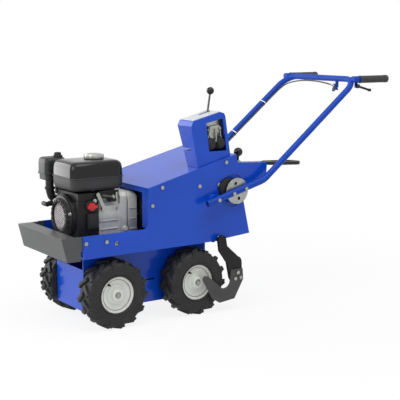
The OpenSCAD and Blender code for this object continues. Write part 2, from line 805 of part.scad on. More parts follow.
module rim() {
    flange_y = tyre_w / 2 - shoulder_r + 1;
    difference() {
        union() {
            rod_y(-flange_y, flange_y, 2 * bead_r, 0, 0);
            rod_y(-flange_y - 3, -flange_y + 2 * seat_gap, rim_d, 0, 0);
            rod_y(flange_y - 2 * seat_gap, flange_y + 3, rim_d, 0, 0);
        }
        rod_y(-tyre_w, tyre_w, 2 * (bead_r - rim_wall), 0, 0);
    }
    difference() {
        union() {
            rod_y(-18, -18 + rim_wall, 2 * bead_r - rim_wall, 0, 0);
            rod_y(-hub_face_y, flange_y, 1.7 * axle_d, 0, 0);
            rod_y(-26, -18, 3.0 * axle_d, 0, 0);
        }
        rod_y(-hub_face_y + 4, tyre_w, axle_d + 2 * seat_gap, 0, 0);
    }
}

module rim_pair(x) {
    color("lightgray") both_sides() translate([x, -wheel_y, axle_z]) rim();
}

module front_rims() {
    rim_pair(front_axle_x);
}

module rear_rims() {
    rim_pair(rear_axle_x);
}

module front_left_tyre() {
    color("#222222") tyre(front_axle_x, -wheel_y);
}

module front_right_tyre() {
    color("#222222") mirror([0, 1, 0]) tyre(front_axle_x, -wheel_y);
}

module rear_left_tyre() {
    color("#222222") tyre(rear_axle_x, -wheel_y);
}

module rear_right_tyre() {
    color("#222222") mirror([0, 1, 0]) tyre(rear_axle_x, -wheel_y);
}

axle_end_y = wheel_y + hub_face_y - 4 - seat_gap;

module front_axle() {
    color("gray") rod_y(-axle_end_y, axle_end_y, axle_d, front_axle_x, axle_z);
}

module rear_axle() {
    color("gray") rod_y(-axle_end_y, axle_end_y, axle_d, rear_axle_x, axle_z);
}

// Axle bearings: round flanged housings on the frame's side plates
bearing_d = 62;
bearing_t = 8;

module axle_bearings() {
    color("dimgray") both_sides() for (x = [front_axle_x, rear_axle_x]) difference() {
        rod_y(-frame_out - bearing_t, -frame_out, bearing_d, x, axle_z);
        rod_y(-frame_w, 0, axle_d + 2 * running_gap, x, axle_z);
    }
}

// Wheel drive: a chain from the gearbox's drive sprocket round both axle sprockets
chain_y = -75;
chain_w = 8;
chain_t = 7;
drive_x = 112;
drive_z = 296;
drive_teeth = 14;
axle_teeth = 18;
tooth_pitch = 13.4;
drive_stub_d = 20;
function pitch_r(teeth) = teeth * tooth_pitch / (2 * PI);

module sprocket(teeth) {
    r = pitch_r(teeth);
    rotate([90, 0, 0]) translate([0, 0, -chain_w / 4]) linear_extrude(chain_w / 2) polygon([
        for (i = [0 : teeth - 1], side = [-1, 1])
            let (a = (i + 0.25 * side) * 360 / teeth) (r - chain_t / 2 - 0.4) * [cos(a), sin(a)]
    ]);
}

module axle_sprocket(x) {
    difference() {
        union() {
            translate([x, chain_y, axle_z]) sprocket(axle_teeth);
            rod_y(chain_y - 12, chain_y + 12, 1.8 * axle_d, x, axle_z);
        }
        rod_y(-frame_w, frame_w, axle_d + 2 * seat_gap, x, axle_z);
    }
}

module front_sprocket() {
    color("gray") axle_sprocket(front_axle_x);
}

module rear_sprocket() {
    color("gray") axle_sprocket(rear_axle_x);
}

module drive_sprocket() {
    color("gray") {
        translate([drive_x, chain_y, drive_z]) sprocket(drive_teeth);
        rod_y(chain_y - 6, chain_y + 30, drive_stub_d, drive_x, drive_z);
    }
}

module chain_outline(grow) {
    hull() {
        translate([drive_x, drive_z]) circle(r = pitch_r(drive_teeth) + grow, $fn = 32);
        for (x = [front_axle_x, rear_axle_x]) translate([x, axle_z]) circle(r = pitch_r(axle_teeth) + grow, $fn = 32);
    }
}

module drive_chain() {
    color("dimgray") plate_xz(chain_y - chain_w / 2, chain_w) difference() {
        chain_outline(chain_t / 2);
        chain_outline(-chain_t / 2);
    }
}

// Blade drive: crankshaft sheave, V-belt, worm gearbox and a cross shaft with an eccentric at each end
worm_drop = 50;
worm_z = gear_axis_z - worm_drop;
worm_d = 20;
cross_d = 25;
belt_x = 38;
belt_w = 14;
engine_sheave_r = 36;
gear_sheave_r = 60;
groove_h = 9;
rod_t = 10;
rod_room = 22;
rod_y_in = panel_in - rod_room - rod_t;
eccentric_d = 2 * (cross_d / 2 + eccentric_throw + 3);
rocker_lever_l = 52;
lever_pin_d = 14;
rod_slot_w = lever_pin_d + 2 * eccentric_throw + 8;

module drive_gearbox() {
    color("slategray") difference() {
        union() {
            block([gear_x - gear_half, -gear_half, shelf_top_z], [gear_x + gear_half, gear_half, gear_axis_z + gear_half]);
            rod_y(-gear_half - 6, gear_half + 6, 2.2 * cross_d, gear_x, gear_axis_z);
            rod_x(gear_x - gear_half - 14, gear_x - gear_half, 2.4 * worm_d, 0, worm_z);
        }
        rod_y(-panel_out, panel_out, cross_d + 2 * running_gap, gear_x, gear_axis_z);
        rod_x(0, gear_x + 40, worm_d + 2 * running_gap, 0, worm_z);
        rod_y(-gear_half - 1, chain_y + 30 + part_gap, drive_stub_d + 2 * running_gap, drive_x, drive_z);
    }
}

module sheave(r, bore, y, z) {
    difference() {
        union() {
            rod_x(belt_x - belt_w / 2 - 4, belt_x + belt_w / 2 + 4, 2 * (r - groove_h), y, z);
            rod_x(belt_x - belt_w / 2 - 4, belt_x - belt_w / 2 - part_gap, 2 * r, y, z);
            rod_x(belt_x + belt_w / 2 + part_gap, belt_x + belt_w / 2 + 4, 2 * r, y, z);
        }
        rod_x(belt_x - 40, belt_x + 40, bore + 2 * seat_gap, y, z);
    }
}

module engine_sheave() {
    color("gray") sheave(engine_sheave_r, crank_d, 0, crank_z);
}

module gearbox_sheave() {
    color("gray") {
        sheave(gear_sheave_r, worm_d - 2 * seat_gap, 0, worm_z);
        rod_x(belt_x - belt_w / 2 - 4, gear_x + 40 - part_gap, worm_d, 0, worm_z);
    }
}

module belt_outline(grow) {
    hull() {
        translate([0, crank_z]) circle(r = engine_sheave_r - groove_h + grow, $fn = 32);
        translate([0, worm_z]) circle(r = gear_sheave_r - groove_h + grow, $fn = 32);
    }
}

module drive_belt() {
    color("black") bar_yz(belt_x - belt_w / 2, belt_w) difference() {
        belt_outline(groove_h - 1);
        belt_outline(part_gap);
    }
}

module cross_shaft() {
    color("gray") {
        rod_y(-rod_y_in - rod_t - 4, rod_y_in + rod_t + 4, cross_d, gear_x, gear_axis_z);
        both_sides() rod_y(-rod_y_in - rod_t, -rod_y_in, eccentric_d, gear_x + eccentric_throw, gear_axis_z);
        both_sides() rod_y(-rod_y_in + 1, -rod_y_in + 6, eccentric_d + 10, gear_x + eccentric_throw, gear_axis_z);
    }
}

// A rod's small end is a fork, open below, in which the rocker lever's pin moves up and down with the blade
module connecting_rod() {
    big_x = gear_x + eccentric_throw;
    fork_x = rocker_x + eccentric_throw;
    pin_z = rocker_z + rocker_lever_l;
    fork_low = pin_z - blade_drop - lever_pin_d / 2 - 4;
    fork_top = pin_z + rod_slot_w / 2;
    plate_xz(-rod_y_in - rod_t + part_gap, rod_t - 2 * part_gap) difference() {
        union() {
            translate([big_x, gear_axis_z]) circle(d = eccentric_d + 18);
            translate([big_x, gear_axis_z - 9]) square([fork_x - big_x - rod_slot_w / 2, 18]);
            translate([fork_x - rod_slot_w / 2 - 8, fork_low]) square([rod_slot_w + 16, fork_top + 8 - fork_low]);
        }
        translate([big_x, gear_axis_z]) circle(d = eccentric_d + 2 * running_gap);
        translate([fork_x - rod_slot_w / 2, fork_low - 1]) square([rod_slot_w, fork_top - fork_low + 1]);
    }
}

module connecting_rods() {
    color("gray") both_sides() connecting_rod();
}

// Blade carrier: a cross block on the guide posts that holds the rocker shaft, with the lift rod to the depth lever
carrier_x = frame_rear + part_gap;
carrier_back = post_x + 0.9 * post_d;
carrier_low_z = rocker_z - rocker_d - 1;
carrier_top_z = rocker_z + rocker_d + 1;
carrier_y = frame_in - 2;
lift_rod_d = 12;
lift_top_z = depth_pivot_z - 26;

module blade_carrier() {
    color("dimgray") difference() {
        union() {
            block([carrier_x, -carrier_y, carrier_low_z], [carrier_back, carrier_y, carrier_top_z]);
            block([rocker_x - lift_rod_d, -lift_rod_d, carrier_top_z - 1], [carrier_back, lift_rod_d, carrier_top_z + 12]);
            rod_z(carrier_top_z, lift_top_z, lift_rod_d, rocker_x, 0);
        }
        rod_y(-frame_w, frame_w, rocker_d + 2 * running_gap, rocker_x, rocker_z);
        for (y = [-post_y, post_y]) rod_z(carrier_low_z - 1, carrier_top_z + 1, post_d + 2 * running_gap, post_x, y);
    }
}

// Blade arms: two cranked arms welded on the rocker shaft, outside the tyres, with the levers that the rods push
arm_out = blade_w / 2 - blade_t;
arm_in = arm_out - arm_t;
arm_outline = concat(
    arc(rocker_x, rocker_z, 20, 200, 40, 6),
    [[rocker_x + 22, rocker_z - 24], [rocker_x + 76, rocker_z - 73]],
    arc(rocker_x + 68, rocker_z - 96, 25, 60, 0, 4),
    [
        [rocker_x + 96, rocker_z - 160],
        [rocker_x + 84, rocker_z - 178],
        [rocker_x + 48, rocker_z - 176],
        [rocker_x + 36, rocker_z - 158],
        [rocker_x + 22, rocker_z - 92],
        [rocker_x - 14, rocker_z - 42]
    ]
);
arm_bolts = [[rocker_x + 69, rocker_z - 136], [rocker_x + 82, rocker_z - 158], [rocker_x + 56, rocker_z - 160]];

module blade_arms() {
    color("#1c1c1c") difference() {
        union() {
            both_sides() plate_xz(-arm_out, arm_t) polygon(arm_outline);
            rod_y(-arm_in, arm_in, rocker_d, rocker_x, rocker_z);
            both_sides() {
                plate_xz(-rod_y_in + part_gap, rod_t) {
                    translate([rocker_x, rocker_z]) circle(d = 2 * rocker_d);
                    translate([rocker_x - 10, rocker_z]) square([20, rocker_lever_l]);
                    translate([rocker_x, rocker_z + rocker_lever_l]) circle(d = 20);
                }
                rod_y(-rod_y_in - rod_t, -rod_y_in + 1, lever_pin_d, rocker_x, rocker_z + rocker_lever_l);
            }
        }
        both_sides() for (p = arm_bolts) rod_y(-body_w, -arm_in + 1, bolt_d + 2 * seat_gap, p.x, p.y);
    }
}

// Blade: two J-shaped side legs with upturned fronts, joined by the level cutting plate behind the tyres
blade_edge_x = rear_axle_x + 0.93 * tyre_r;
blade_low_z = 40;
blade_tip = [
    [rear_axle_x + 34, 155],
    [rear_axle_x + 14, 157],
    [rear_axle_x + 7, 144],
    [rear_axle_x + 29, 106],
    [rear_axle_x + 52, 62],
    [rear_axle_x + 88, blade_low_z]
];
blade_leg = concat(
    blade_tip,
    [
        [rocker_x + 54, blade_low_z + 8],
        [rocker_x + 97, rocker_z - 166],
        [rocker_x + 94, rocker_z - 122],
        [rocker_x + 37, rocker_z - 122],
        [rocker_x + 34, rocker_z - 158]
    ],
    arc(rocker_x + 4, rocker_z - 163, 30, 0, -110, 6),
    [[rear_axle_x + 66, 125]]
);

module blade() {
    color("#3a3a3c") {
        difference() {
            both_sides() plate_xz(-blade_w / 2, blade_t) polygon(blade_leg);
            both_sides() for (p = arm_bolts) rod_y(-body_w, 0, bolt_d + 2 * seat_gap, p.x, p.y);
        }
        plate_xz(-blade_w / 2 + blade_t - 1, blade_w - 2 * blade_t + 2) polygon([
            [blade_edge_x, blade_low_z + 9],
            [rocker_x + 52, blade_low_z + 9],
            [rocker_x + 54, blade_low_z + 9 + blade_t],
            [blade_edge_x + 14, blade_low_z + 9 + blade_t]
        ]);
    }
}

module blade_bolts() {
    color("silver") both_sides() {
        for (p = arm_bolts) translate([p.x, 0, p.y]) bolt(-blade_w / 2, blade_t + arm_t);
    }
}

// Depth lever: a flat zinc bar through the rear lip, hinged beside the notched sector, with a black loop grip
depth_pin_d = 12;
depth_bar_t = 10;
depth_bar_h = 16;
depth_bar_end = 640;
depth_droop = 3;
loop_l = 190;
loop_w = 72;
loop_t = 14;

module on_depth_pivot() {
    translate([depth_pivot_x, 0, depth_pivot_z]) rotate([0, depth_droop, 0]) children();
}

module depth_lever() {
    reach = depth_bar_end - depth_pivot_x;
    nose = depth_pivot_x - rocker_x - lift_rod_d / 2 - 4;
    color("silver") difference() {
        on_depth_pivot() {
            translate([0, -depth_bar_t / 2, 0]) rotate([-90, 0, 0]) cylinder(h = depth_bar_t, d = 30);
            translate([-nose, -depth_bar_t / 2, -depth_bar_h / 2]) cube([nose + reach, depth_bar_t, depth_bar_h]);
            translate([lock_x, 0, 0]) cylinder(h = depth_bar_h / 2 + 6, d = 24);
        }
        rod_y(-20, 20, depth_pin_d + 2 * running_gap, depth_pivot_x, depth_pivot_z);
        on_depth_pivot() translate([lock_x, 0, -20]) cylinder(h = 60, d = lock_stem_d + 2 * running_gap);
    }
}

module depth_lever_grip() {
    start = depth_bar_end - depth_pivot_x;
    color("black") on_depth_pivot() translate([start, 0, -loop_t / 2]) linear_extrude(loop_t) difference() {
        union() {
            translate([seat_gap, -13]) square([40, 26]);
            translate([loop_w / 2 + 14, -loop_w / 2]) square([loop_l - loop_w, loop_w]);
            translate([loop_w / 2 + 14, 0]) circle(d = loop_w);
            translate([loop_l - loop_w / 2 + 14, 0]) circle(d = loop_w);
        }
        translate([loop_w / 2 + 20, 18 - loop_w / 2]) square([loop_l - loop_w - 6, loop_w - 36]);
    }
}

// Lock knob: a round black knob on a stem that clamps the depth lever
lock_x = 118;
lock_stem_d = 10;
lock_knob_d = 38;
lock_h = 46;

module depth_lock_knob() {
    color("black") on_depth_pivot() translate([lock_x, 0, 0]) {
        translate([0, 0, -depth_bar_h / 2]) cylinder(h = lock_h, d = lock_stem_d);
        translate([0, 0, lock_h + 2]) sphere(d = lock_knob_d);
    }
}

// Engine: a horizontal-shaft single with its starter at the front and its crankshaft pointing back into the body
case_front = -198;
case_rear = -100;
side_cover_rear = -16;
fan_front = -300;
fan_d = 172;
fan_bore_d = 152;
near_y = -84;
far_y = 78;
engine_bolts_x = [case_front + 14, case_rear - 14];
engine_bolts_y = [near_y - 8, far_y + 8];
crank_bore = crank_d + 2 * running_gap;

module crankcase() {
    color("silver") difference() {
        union() {
            block([case_front, near_y - 18, deck_top_z], [case_rear, far_y + 18, deck_top_z + 12]);
            block([case_front, near_y, deck_top_z], [case_rear, far_y, crank_z + 40]);
            rod_x(case_front, case_rear, 176, 0, crank_z);
            block([case_front, near_y + 20, crank_z], [case_rear, far_y - 20, tank_low_z - 12]);
            block([case_front + 8, near_y + 30, crank_z], [case_front + 24, far_y, tank_low_z]);
            block([case_rear - 24, near_y + 30, crank_z], [case_rear - 8, far_y, tank_low_z]);
            rod_y(near_y - 6, near_y, 26, governor_x, governor_z);
        }
        rod_x(case_front - 1, case_rear + 1, crank_bore, 0, crank_z);
        rod_x(case_front + 14, case_rear - 14, 124, 0, crank_z);
        for (x = engine_bolts_x, y = engine_bolts_y) rod_z(deck_top_z - 1, deck_top_z + 13, bolt_d + 2 * seat_gap, x, y);
        rod_y(near_y - 20, near_y + 12, governor_pin_d + 2 * running_gap, governor_x, governor_z);
    }
}

module side_cover() {
    color("silver") difference() {
        union() {
            rod_x(case_rear, side_cover_rear - 6, 144, 0, crank_z);
            rod_x(case_rear, side_cover_rear, 104, 0, crank_z);
            block([case_rear, near_y - 2, deck_top_z + 22], [case_rear + 30, far_y, crank_z + 86]);
            block([case_rear + 36, near_y, deck_top_z + 36], [side_cover_rear - 8, far_y - 2, crank_z + 84]);
            rod_y(near_y - 6, near_y + 14, 26, case_rear + 20, crank_z - 58);
        }
        rod_x(case_rear - 1, side_cover_rear + 1, crank_bore, 0, crank_z);
    }
}

module fan_cover() {
    color("#202022") difference() {
        union() {
            rod_x(fan_front, case_front - seat_gap, fan_d, 0, crank_z);
            block([fan_front + 14, -98, deck_top_z + 12], [case_front - seat_gap, 84, switch_z + 16]);
            block([fan_front + 20, -90, crank_z], [case_front - seat_gap, 80, tank_low_z - 8]);
            rod_x(guide_front, case_front - 16, rope_guide_d, rope_y, rope_z);
        }
        rod_x(fan_front - 1, case_front - 6, fan_bore_d, 0, crank_z);
        rod_x(case_front - 10, case_front + 10, crank_bore + 6, 0, crank_z);
        rod_y(-110, -70, switch_pin_d + 2 * running_gap, switch_x, switch_z);
        rope_path(rope_d + 1);
    }
}

// Recoil starter: a round louvred cover, and beside it the pull grip with the first stretch of its rope
recoil_t = 18;
louvre_count = 24;
rope_y = 84;
rope_z = crank_z + 40;
rope_d = 5;
pull_travel = 60;
rope_guide_d = 20;
guide_front = fan_front - recoil_t;
grip_x = guide_front - 1;

module rope_path(d) {
    rod_x(grip_x - 1, grip_x + pull_travel + 40, d, rope_y, rope_z);
}

module recoil_cover() {
    color("#202022") difference() {
        union() {
            rod_x(fan_front - recoil_t + 6, fan_front, recoil_d, 0, crank_z);
            rod_x(fan_front - recoil_t, fan_front, recoil_d - 36, 0, crank_z);
            rod_x(fan_front - 3, fan_front, fan_d - 8, 0, crank_z);
        }
        rod_x(fan_front - recoil_t + 4, fan_front + 1, recoil_d - 60, 0, crank_z);
        for (i = [0 : louvre_count - 1]) translate([fan_front - recoil_t + 6, 0, crank_z])
            rotate([i * 360 / louvre_count, 0, 0])
            translate([-10, -3, recoil_d / 2 - 16]) cube([30, 6, 11]);
    }
}

module recoil_grip() {
    color("black") {
        rod_x(grip_x, grip_x + pull_travel + 30, rope_d, rope_y, rope_z);
        rod_x(grip_x - 19, grip_x, 15, rope_y, rope_z);
        rod_y(rope_y - 20, rope_y + 20, 17, grip_x - 12, rope_z);
    }
}

// Crankshaft: the shaft, its flywheel inside the fan cover and a crank web inside the case
flywheel_d = 140;
pto_end = belt_x + 22;

module crankshaft() {
    color("gray") {
        rod_x(fan_front + 6, pto_end, crank_d, 0, crank_z);
        rod_x(fan_front + 16, fan_front + 60, flywheel_d, 0, crank_z);
        rod_x(case_front + 30, case_rear - 30, 100, 0, crank_z - 8);
    }
}

// Fuel tank: a rounded box, deeper towards the rear, with a filler neck and a round cap
tank_front = -306;
tank_near = -102;
tank_far = 86;
tank_low_z = crank_z + 102;
tank_drop = 16;
tank_corner = 24;
cap_x = tank_front + 0.61 * tank_l;
cap_y = -12;
cap_h = 16;
neck_h = 8;
neck_d = fuel_cap_d - 26;
neck_bore_d = neck_d - 8;
tank_wall = 3;
tank_top_z = tank_low_z + tank_h - neck_h;

function rounded_box(low, high, r) = concat(
    arc(high.x - r, high.y - r, r, 0, 90, 5),
    arc(low.x + r, high.y - r, r, 90, 180, 5),
    arc(low.x + r, low.y + r, r, 180, 270, 5),
    arc(high.x - r, low.y + r, r, 270, 360, 5)
);

module tank_form(shrink) {
    hull() for (layer = [[tank_low_z, 14], [tank_low_z + 16, 0], [tank_top_z - 26, 0], [tank_top_z - 8, 10], [tank_top_z, 30]])
        translate([0, 0, layer[0] + shrink * (layer[0] > tank_low_z + 40 ? -1 : 1)]) linear_extrude(0.01) polygon(rounded_box(
            [tank_front + layer[1] + shrink, tank_near + layer[1] + shrink],
            [tank_front + tank_l - layer[1] - shrink, tank_far - layer[1] - shrink],
            tank_corner
        ));
}

module fuel_tank() {
    color("#151515") {
        difference() {
            tank_form(0);
            tank_form(tank_wall);
            rod_z(tank_top_z - 2 * tank_wall, tank_top_z + 1, neck_bore_d, cap_x, cap_y);
        }
        translate([0, 0, tank_top_z]) difference() {
            rod_z(-1, neck_h, neck_d, cap_x, cap_y);
            rod_z(-2, neck_h + 1, neck_bore_d, cap_x, cap_y);
        }
    }
}

module fuel_cap() {
    color("#2a2a2a") difference() {
        rod_z(tank_top_z + part_gap, tank_top_z + part_gap + cap_h, fuel_cap_d, cap_x, cap_y);
        rod_z(tank_top_z, tank_top_z + neck_h + seat_gap, neck_d + 2 * running_gap, cap_x, cap_y);
        for (i = [0 : 11]) translate([cap_x, cap_y, tank_top_z]) rotate([0, 0, 30 * i])
            translate([fuel_cap_d / 2, 0, 0]) cylinder(h = 40, d = 7);
    }
}

// Cylinder: finned barrel and head, leaning up from the crankcase's far side
cylinder_lean = 25;
cylinder_x = (case_front + case_rear) / 2;
fin_count = 9;
fin_pitch = 9;
fin_size = 96;
barrel_d = 78;
head_l = 16;

module cylinder_block() {
    color("darkgray") intersection() {
        translate([cylinder_x, 0, crank_z]) rotate([cylinder_lean - 90, 0, 0]) {
            cylinder(h = 92 + fin_count * fin_pitch, d = barrel_d);
            for (i = [0 : fin_count - 1]) translate([-fin_size / 2 + 2, -fin_size / 2, 88 + i * fin_pitch])
                cube([fin_size - 4, fin_size, 4]);
            translate([-34, -34, 88 + fin_count * fin_pitch]) cube([68, 68, head_l]);
        }
        block([case_front, far_y, deck_top_z + 14], [case_rear, body_w / 2, tank_low_z - 2]);
    }
}

module cylinder_part() {
    difference() {
        cylinder_block();
        block([case_front - 1, far_y - 1, deck_top_z], [case_rear + 1, far_y + 19, deck_top_z + 14]);
        rod_x(case_front - 1, case_rear + 1, 176 + 2 * seat_gap, 0, crank_z);
    }
}

// Carburettor: the silver casting in front of the head, with its bowl and a choke shaft
carb_x = case_front - 46;
carb_y = 122;
carb_z = crank_z + 48;
choke_x = carb_x - 26;

module carburettor() {
    color("darkgray") difference() {
        union() {
            rod_z(carb_z - 44, carb_z - 10, 44, carb_x, carb_y);
            block([carb_x - 24, carb_y - 22, carb_z - 12], [carb_x + 24, carb_y + 22, carb_z + 26]);
            rod_x(carb_x + 20, cylinder_x - fin_size / 2 + 2 - seat_gap, 36, carb_y, carb_z + 6);
            rod_z(carb_z + 20, air_low_z, 46, carb_x, carb_y);
        }
        rod_x(choke_x - 20, carb_x, choke_pin_d + 2 * running_gap, carb_y, carb_z + 6);
    }
}

choke_pin_d = 6;

module choke_lever() {
    color("black") {
        rod_x(choke_x - 6, carb_x - 4, choke_pin_d, carb_y, carb_z + 6);
        rod_x(choke_x - 6, choke_x, 16, carb_y, carb_z + 6);
        block([choke_x - 6, carb_y - 5, carb_z - 40], [choke_x, carb_y + 5, carb_z + 6]);
    }
}

// Air cleaner: a rounded black box on the carburettor's elbow, with a wing nut on top
air_front = -317;
air_near = 104;
air_w = 86;
air_l = 96;
air_h = 88;
air_low_z = tank_low_z + 22;

module air_slab(z, h, shrink) {
    translate([0, 0, z]) linear_extrude(h) polygon(rounded_box(
        [air_front + shrink, air_near + shrink],
        [air_front + air_l - shrink, air_near + air_w - shrink],
        16
    ));
}

module air_cleaner() {
    color("#3a3a3c") {
        air_slab(air_low_z, 0.3 * air_h, 5);
        air_slab(air_low_z + 0.3 * air_h, 0.55 * air_h, 0);
        air_slab(air_low_z + 0.85 * air_h, 0.15 * air_h, 7);
        rod_z(air_low_z + air_h - 1, air_low_z + air_h + 10, 22, air_front + 44, air_near + 40);
        block(
            [air_front + 26, air_near + 36, air_low_z + air_h + 4],
            [air_front + 62, air_near + 44, air_low_z + air_h + 18]
        );
    }
}

// Muffler: a rounded steel can behind the air cleaner, on a short pipe from the head
muffler_front = -170;
muffler_rear = -58;
muffler_near = 94;
muffler_far = 186;
muffler_low_z = tank_low_z + 8;
muffler_h = 84;

module muffler() {
    color("dimgray") {
        hull() for (x = [muffler_front + 14, muffler_rear - 14], z = [muffler_low_z + 20, muffler_low_z + muffler_h - 20])
            rod_y(muffler_near, muffler_far, 40, x, z);
        rod_z(tank_low_z - 2, muffler_low_z + 12, 30, cylinder_x - 10, far_y + 60);
    }
}

// Governor arm and engine switch on the engine's near side
governor_x = -178;
governor_z = crank_z + 34;
governor_pin_d = 8;
governor_l = 76;
governor_lean = 24;
switch_x = -232;
switch_z = crank_z + 46;
switch_pin_d = 8;

module governor_arm() {
    color("silver") {
        rod_y(near_y - 22, near_y + 10, governor_pin_d, governor_x, governor_z);
        rod_y(near_y - 22, near_y - 8, 20, governor_x, governor_z);
        translate([governor_x, near_y - 20, governor_z]) rotate([0, -governor_lean, 0]) {
            translate([-7, 0, 0]) cube([14, 4, governor_l - 16]);
            translate([0, 0, governor_l - 16]) rotate([-90, 0, 0]) cylinder(h = 4, d = 14);
        }
    }
}

module engine_switch() {
    color("red") {
        rod_y(-98 - part_gap, -76, switch_pin_d, switch_x, switch_z);
        rod_y(-112, -98 - part_gap, 30, switch_x, switch_z);
        block([switch_x - 20, -118, switch_z - 5], [switch_x + 20, -111, switch_z + 5]);
    }
}

// Frame bolts: the body bolts on both panels, the handlebar's bolts and the engine's base bolts
module frame_bolts() {
    color("silver") {
        both_sides() {
            for (p = panel_bolts) translate([p.x, 0, p.y]) bolt(-panel_out, panel_t + (p == bumper_bolts[0] ? bumper_t : 0));
            for (x = handle_bolts_x) translate([x, 0, handle_z(x)]) bolt(-handle_y - tube_r, tube_d + isolator_plate_t + 6);
        }
        for (x = engine_bolts_x, y = engine_bolts_y) {
            rod_z(deck_low_z, deck_top_z + 12, bolt_d, x, y);
            translate([x, y, deck_top_z + 12]) cylinder(h = bolt_head_h, d = bolt_head_d, $fn = 6);
        }
    }
}

// Moves a piece from mid wheelbase to the frame's origin
module placed() {
    translate([-x_mid, 0, 0]) children();
}

placed() left_side_panel();
placed() right_side_panel();
placed() engine_deck();
placed() lower_frame();
placed() top_cover();
placed() front_bumper();
placed() control_console();
placed() console_plate();
placed() lever_quadrants();
placed() shift_lever();
placed() shift_knob();
placed() handle_frame();
placed() hand_grips();
placed() clutch_lever();
placed() throttle_trigger();
placed() isolator_rubbers();
placed() isolator_plates();
placed() control_cable();
placed() frame_bolts();
placed() front_axle();
placed() front_rims();
placed() front_left_tyre();
placed() front_right_tyre();
placed() front_sprocket();
placed() rear_axle();
placed() rear_rims();
placed() rear_left_tyre();
placed() rear_right_tyre();
placed() rear_sprocket();
placed() axle_bearings();
placed() drive_sprocket();
placed() drive_chain();
placed() drive_gearbox();
placed() engine_sheave();
placed() gearbox_sheave();
placed() drive_belt();
placed() cross_shaft();
placed() connecting_rods();
placed() blade_carrier();
placed() blade_arms();
placed() blade();
placed() blade_bolts();
placed() depth_lever();
placed() depth_lever_grip();
placed() depth_lock_knob();
placed() crankcase();
placed() side_cover();
placed() fan_cover();
placed() recoil_cover();
placed() recoil_grip();
placed() crankshaft();
placed() fuel_tank();
placed() fuel_cap();
placed() cylinder_part();  // cylinder_head
placed() carburettor();
placed() choke_lever();
placed() air_cleaner();
placed() muffler();
placed() governor_arm();
placed() engine_switch();
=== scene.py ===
"""Sod cutter: the look of a walk-behind turf cutter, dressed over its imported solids."""
import math

import bmesh
import bpy
from mathutils import Matrix, Vector


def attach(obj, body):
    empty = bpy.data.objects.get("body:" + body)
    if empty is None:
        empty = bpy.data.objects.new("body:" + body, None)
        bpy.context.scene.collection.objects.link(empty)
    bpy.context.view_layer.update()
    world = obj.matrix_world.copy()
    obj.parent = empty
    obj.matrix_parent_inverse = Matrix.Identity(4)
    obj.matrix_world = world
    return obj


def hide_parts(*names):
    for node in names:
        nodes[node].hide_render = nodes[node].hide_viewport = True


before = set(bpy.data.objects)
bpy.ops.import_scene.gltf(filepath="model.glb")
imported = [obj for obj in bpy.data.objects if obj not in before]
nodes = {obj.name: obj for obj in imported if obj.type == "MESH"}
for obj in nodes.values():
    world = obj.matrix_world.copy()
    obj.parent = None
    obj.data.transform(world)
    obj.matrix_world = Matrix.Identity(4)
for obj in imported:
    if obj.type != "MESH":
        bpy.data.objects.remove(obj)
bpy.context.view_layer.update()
scene = bpy.context.scene

# Studio: a pale floor under soft white light, with the machine seen from its front left corner.
# The camera stands a little above the engine and looks slightly down, as in the photograph.
CAMERA_PLACE = Vector((-2.3237, -3.4081, 1.0865))
CAMERA_AIM = Vector((-0.0409, 0.0, 0.4176))
CAMERA_LENS = 90.6
FLOOR_SIZE = 40.0
FLOOR_GLOW_NEAR = 0.86
FLOOR_GLOW_FROM = 0.5
FLOOR_GLOW_FULL = 1.9
WORLD_LIGHT = 0.5

scene.view_settings.view_transform = "Standard"
camera_data = bpy.data.cameras.new("photo_camera")
camera_data.lens = CAMERA_LENS
camera_data.sensor_width = 36.0
camera = bpy.data.objects.new("photo_camera", camera_data)
camera.location = CAMERA_PLACE
camera.rotation_euler = (CAMERA_AIM - CAMERA_PLACE).to_track_quat("-Z", "Y").to_euler()
scene.collection.objects.link(camera)
scene.camera = camera


def combined(tree, operation, first, second):
    """The output of a math node that works on two others' outputs."""
    step = tree.nodes.new("ShaderNodeMath")
    step.operation = operation
    tree.links.new(first, step.inputs[0])
    tree.links.new(second, step.inputs[1])
    return step.outputs[0]


def seen_or_mirrored(tree):
    """A mask: 1 for rays from the camera, a reflection or a clear piece, and 0 for the light that falls."""
    path = tree.nodes.new("ShaderNodeLightPath")
    either = combined(tree, "MAXIMUM", path.outputs["Is Camera Ray"], path.outputs["Is Glossy Ray"])
    return combined(tree, "MAXIMUM", either, path.outputs["Is Transmission Ray"])


world = bpy.data.worlds.new("studio_white")
world.use_nodes = True
scene.world = world
sky = world.node_tree.nodes["Background"]
sky.inputs["Color"].default_value = (1.0, 1.0, 1.0, 1.0)
sky_level = world.node_tree.nodes.new("ShaderNodeMapRange")
sky_level.inputs["To Min"].default_value = WORLD_LIGHT
sky_level.inputs["To Max"].default_value = 1.0
world.node_tree.links.new(seen_or_mirrored(world.node_tree), sky_level.inputs["Value"])
world.node_tree.links.new(sky_level.outputs["Result"], sky.inputs["Strength"])


def soft_lamp(name, place, aim, size, power):
    """A square soft box that shines from a place towards an aim."""
    lamp = bpy.data.lights.new(name, "AREA")
    lamp.size = size
    lamp.energy = power
    stand = bpy.data.objects.new(name, lamp)
    stand.location = place
    stand.rotation_euler = (Vector(aim) - Vector(place)).to_track_quat("-Z", "Y").to_euler()
    scene.collection.objects.link(stand)


soft_lamp("front_soft_box", (-4.2, -0.6, 2.6), (-0.2, 0.0, 0.4), 2.6, 60.0)
soft_lamp("far_front_soft_box", (-2.4, 3.3, 1.2), (-0.3, 0.0, 0.5), 2.6, 85.0)
soft_lamp("top_soft_box", (-0.2, -1.6, 4.2), (0.0, 0.0, 0.4), 3.0, 85.0)

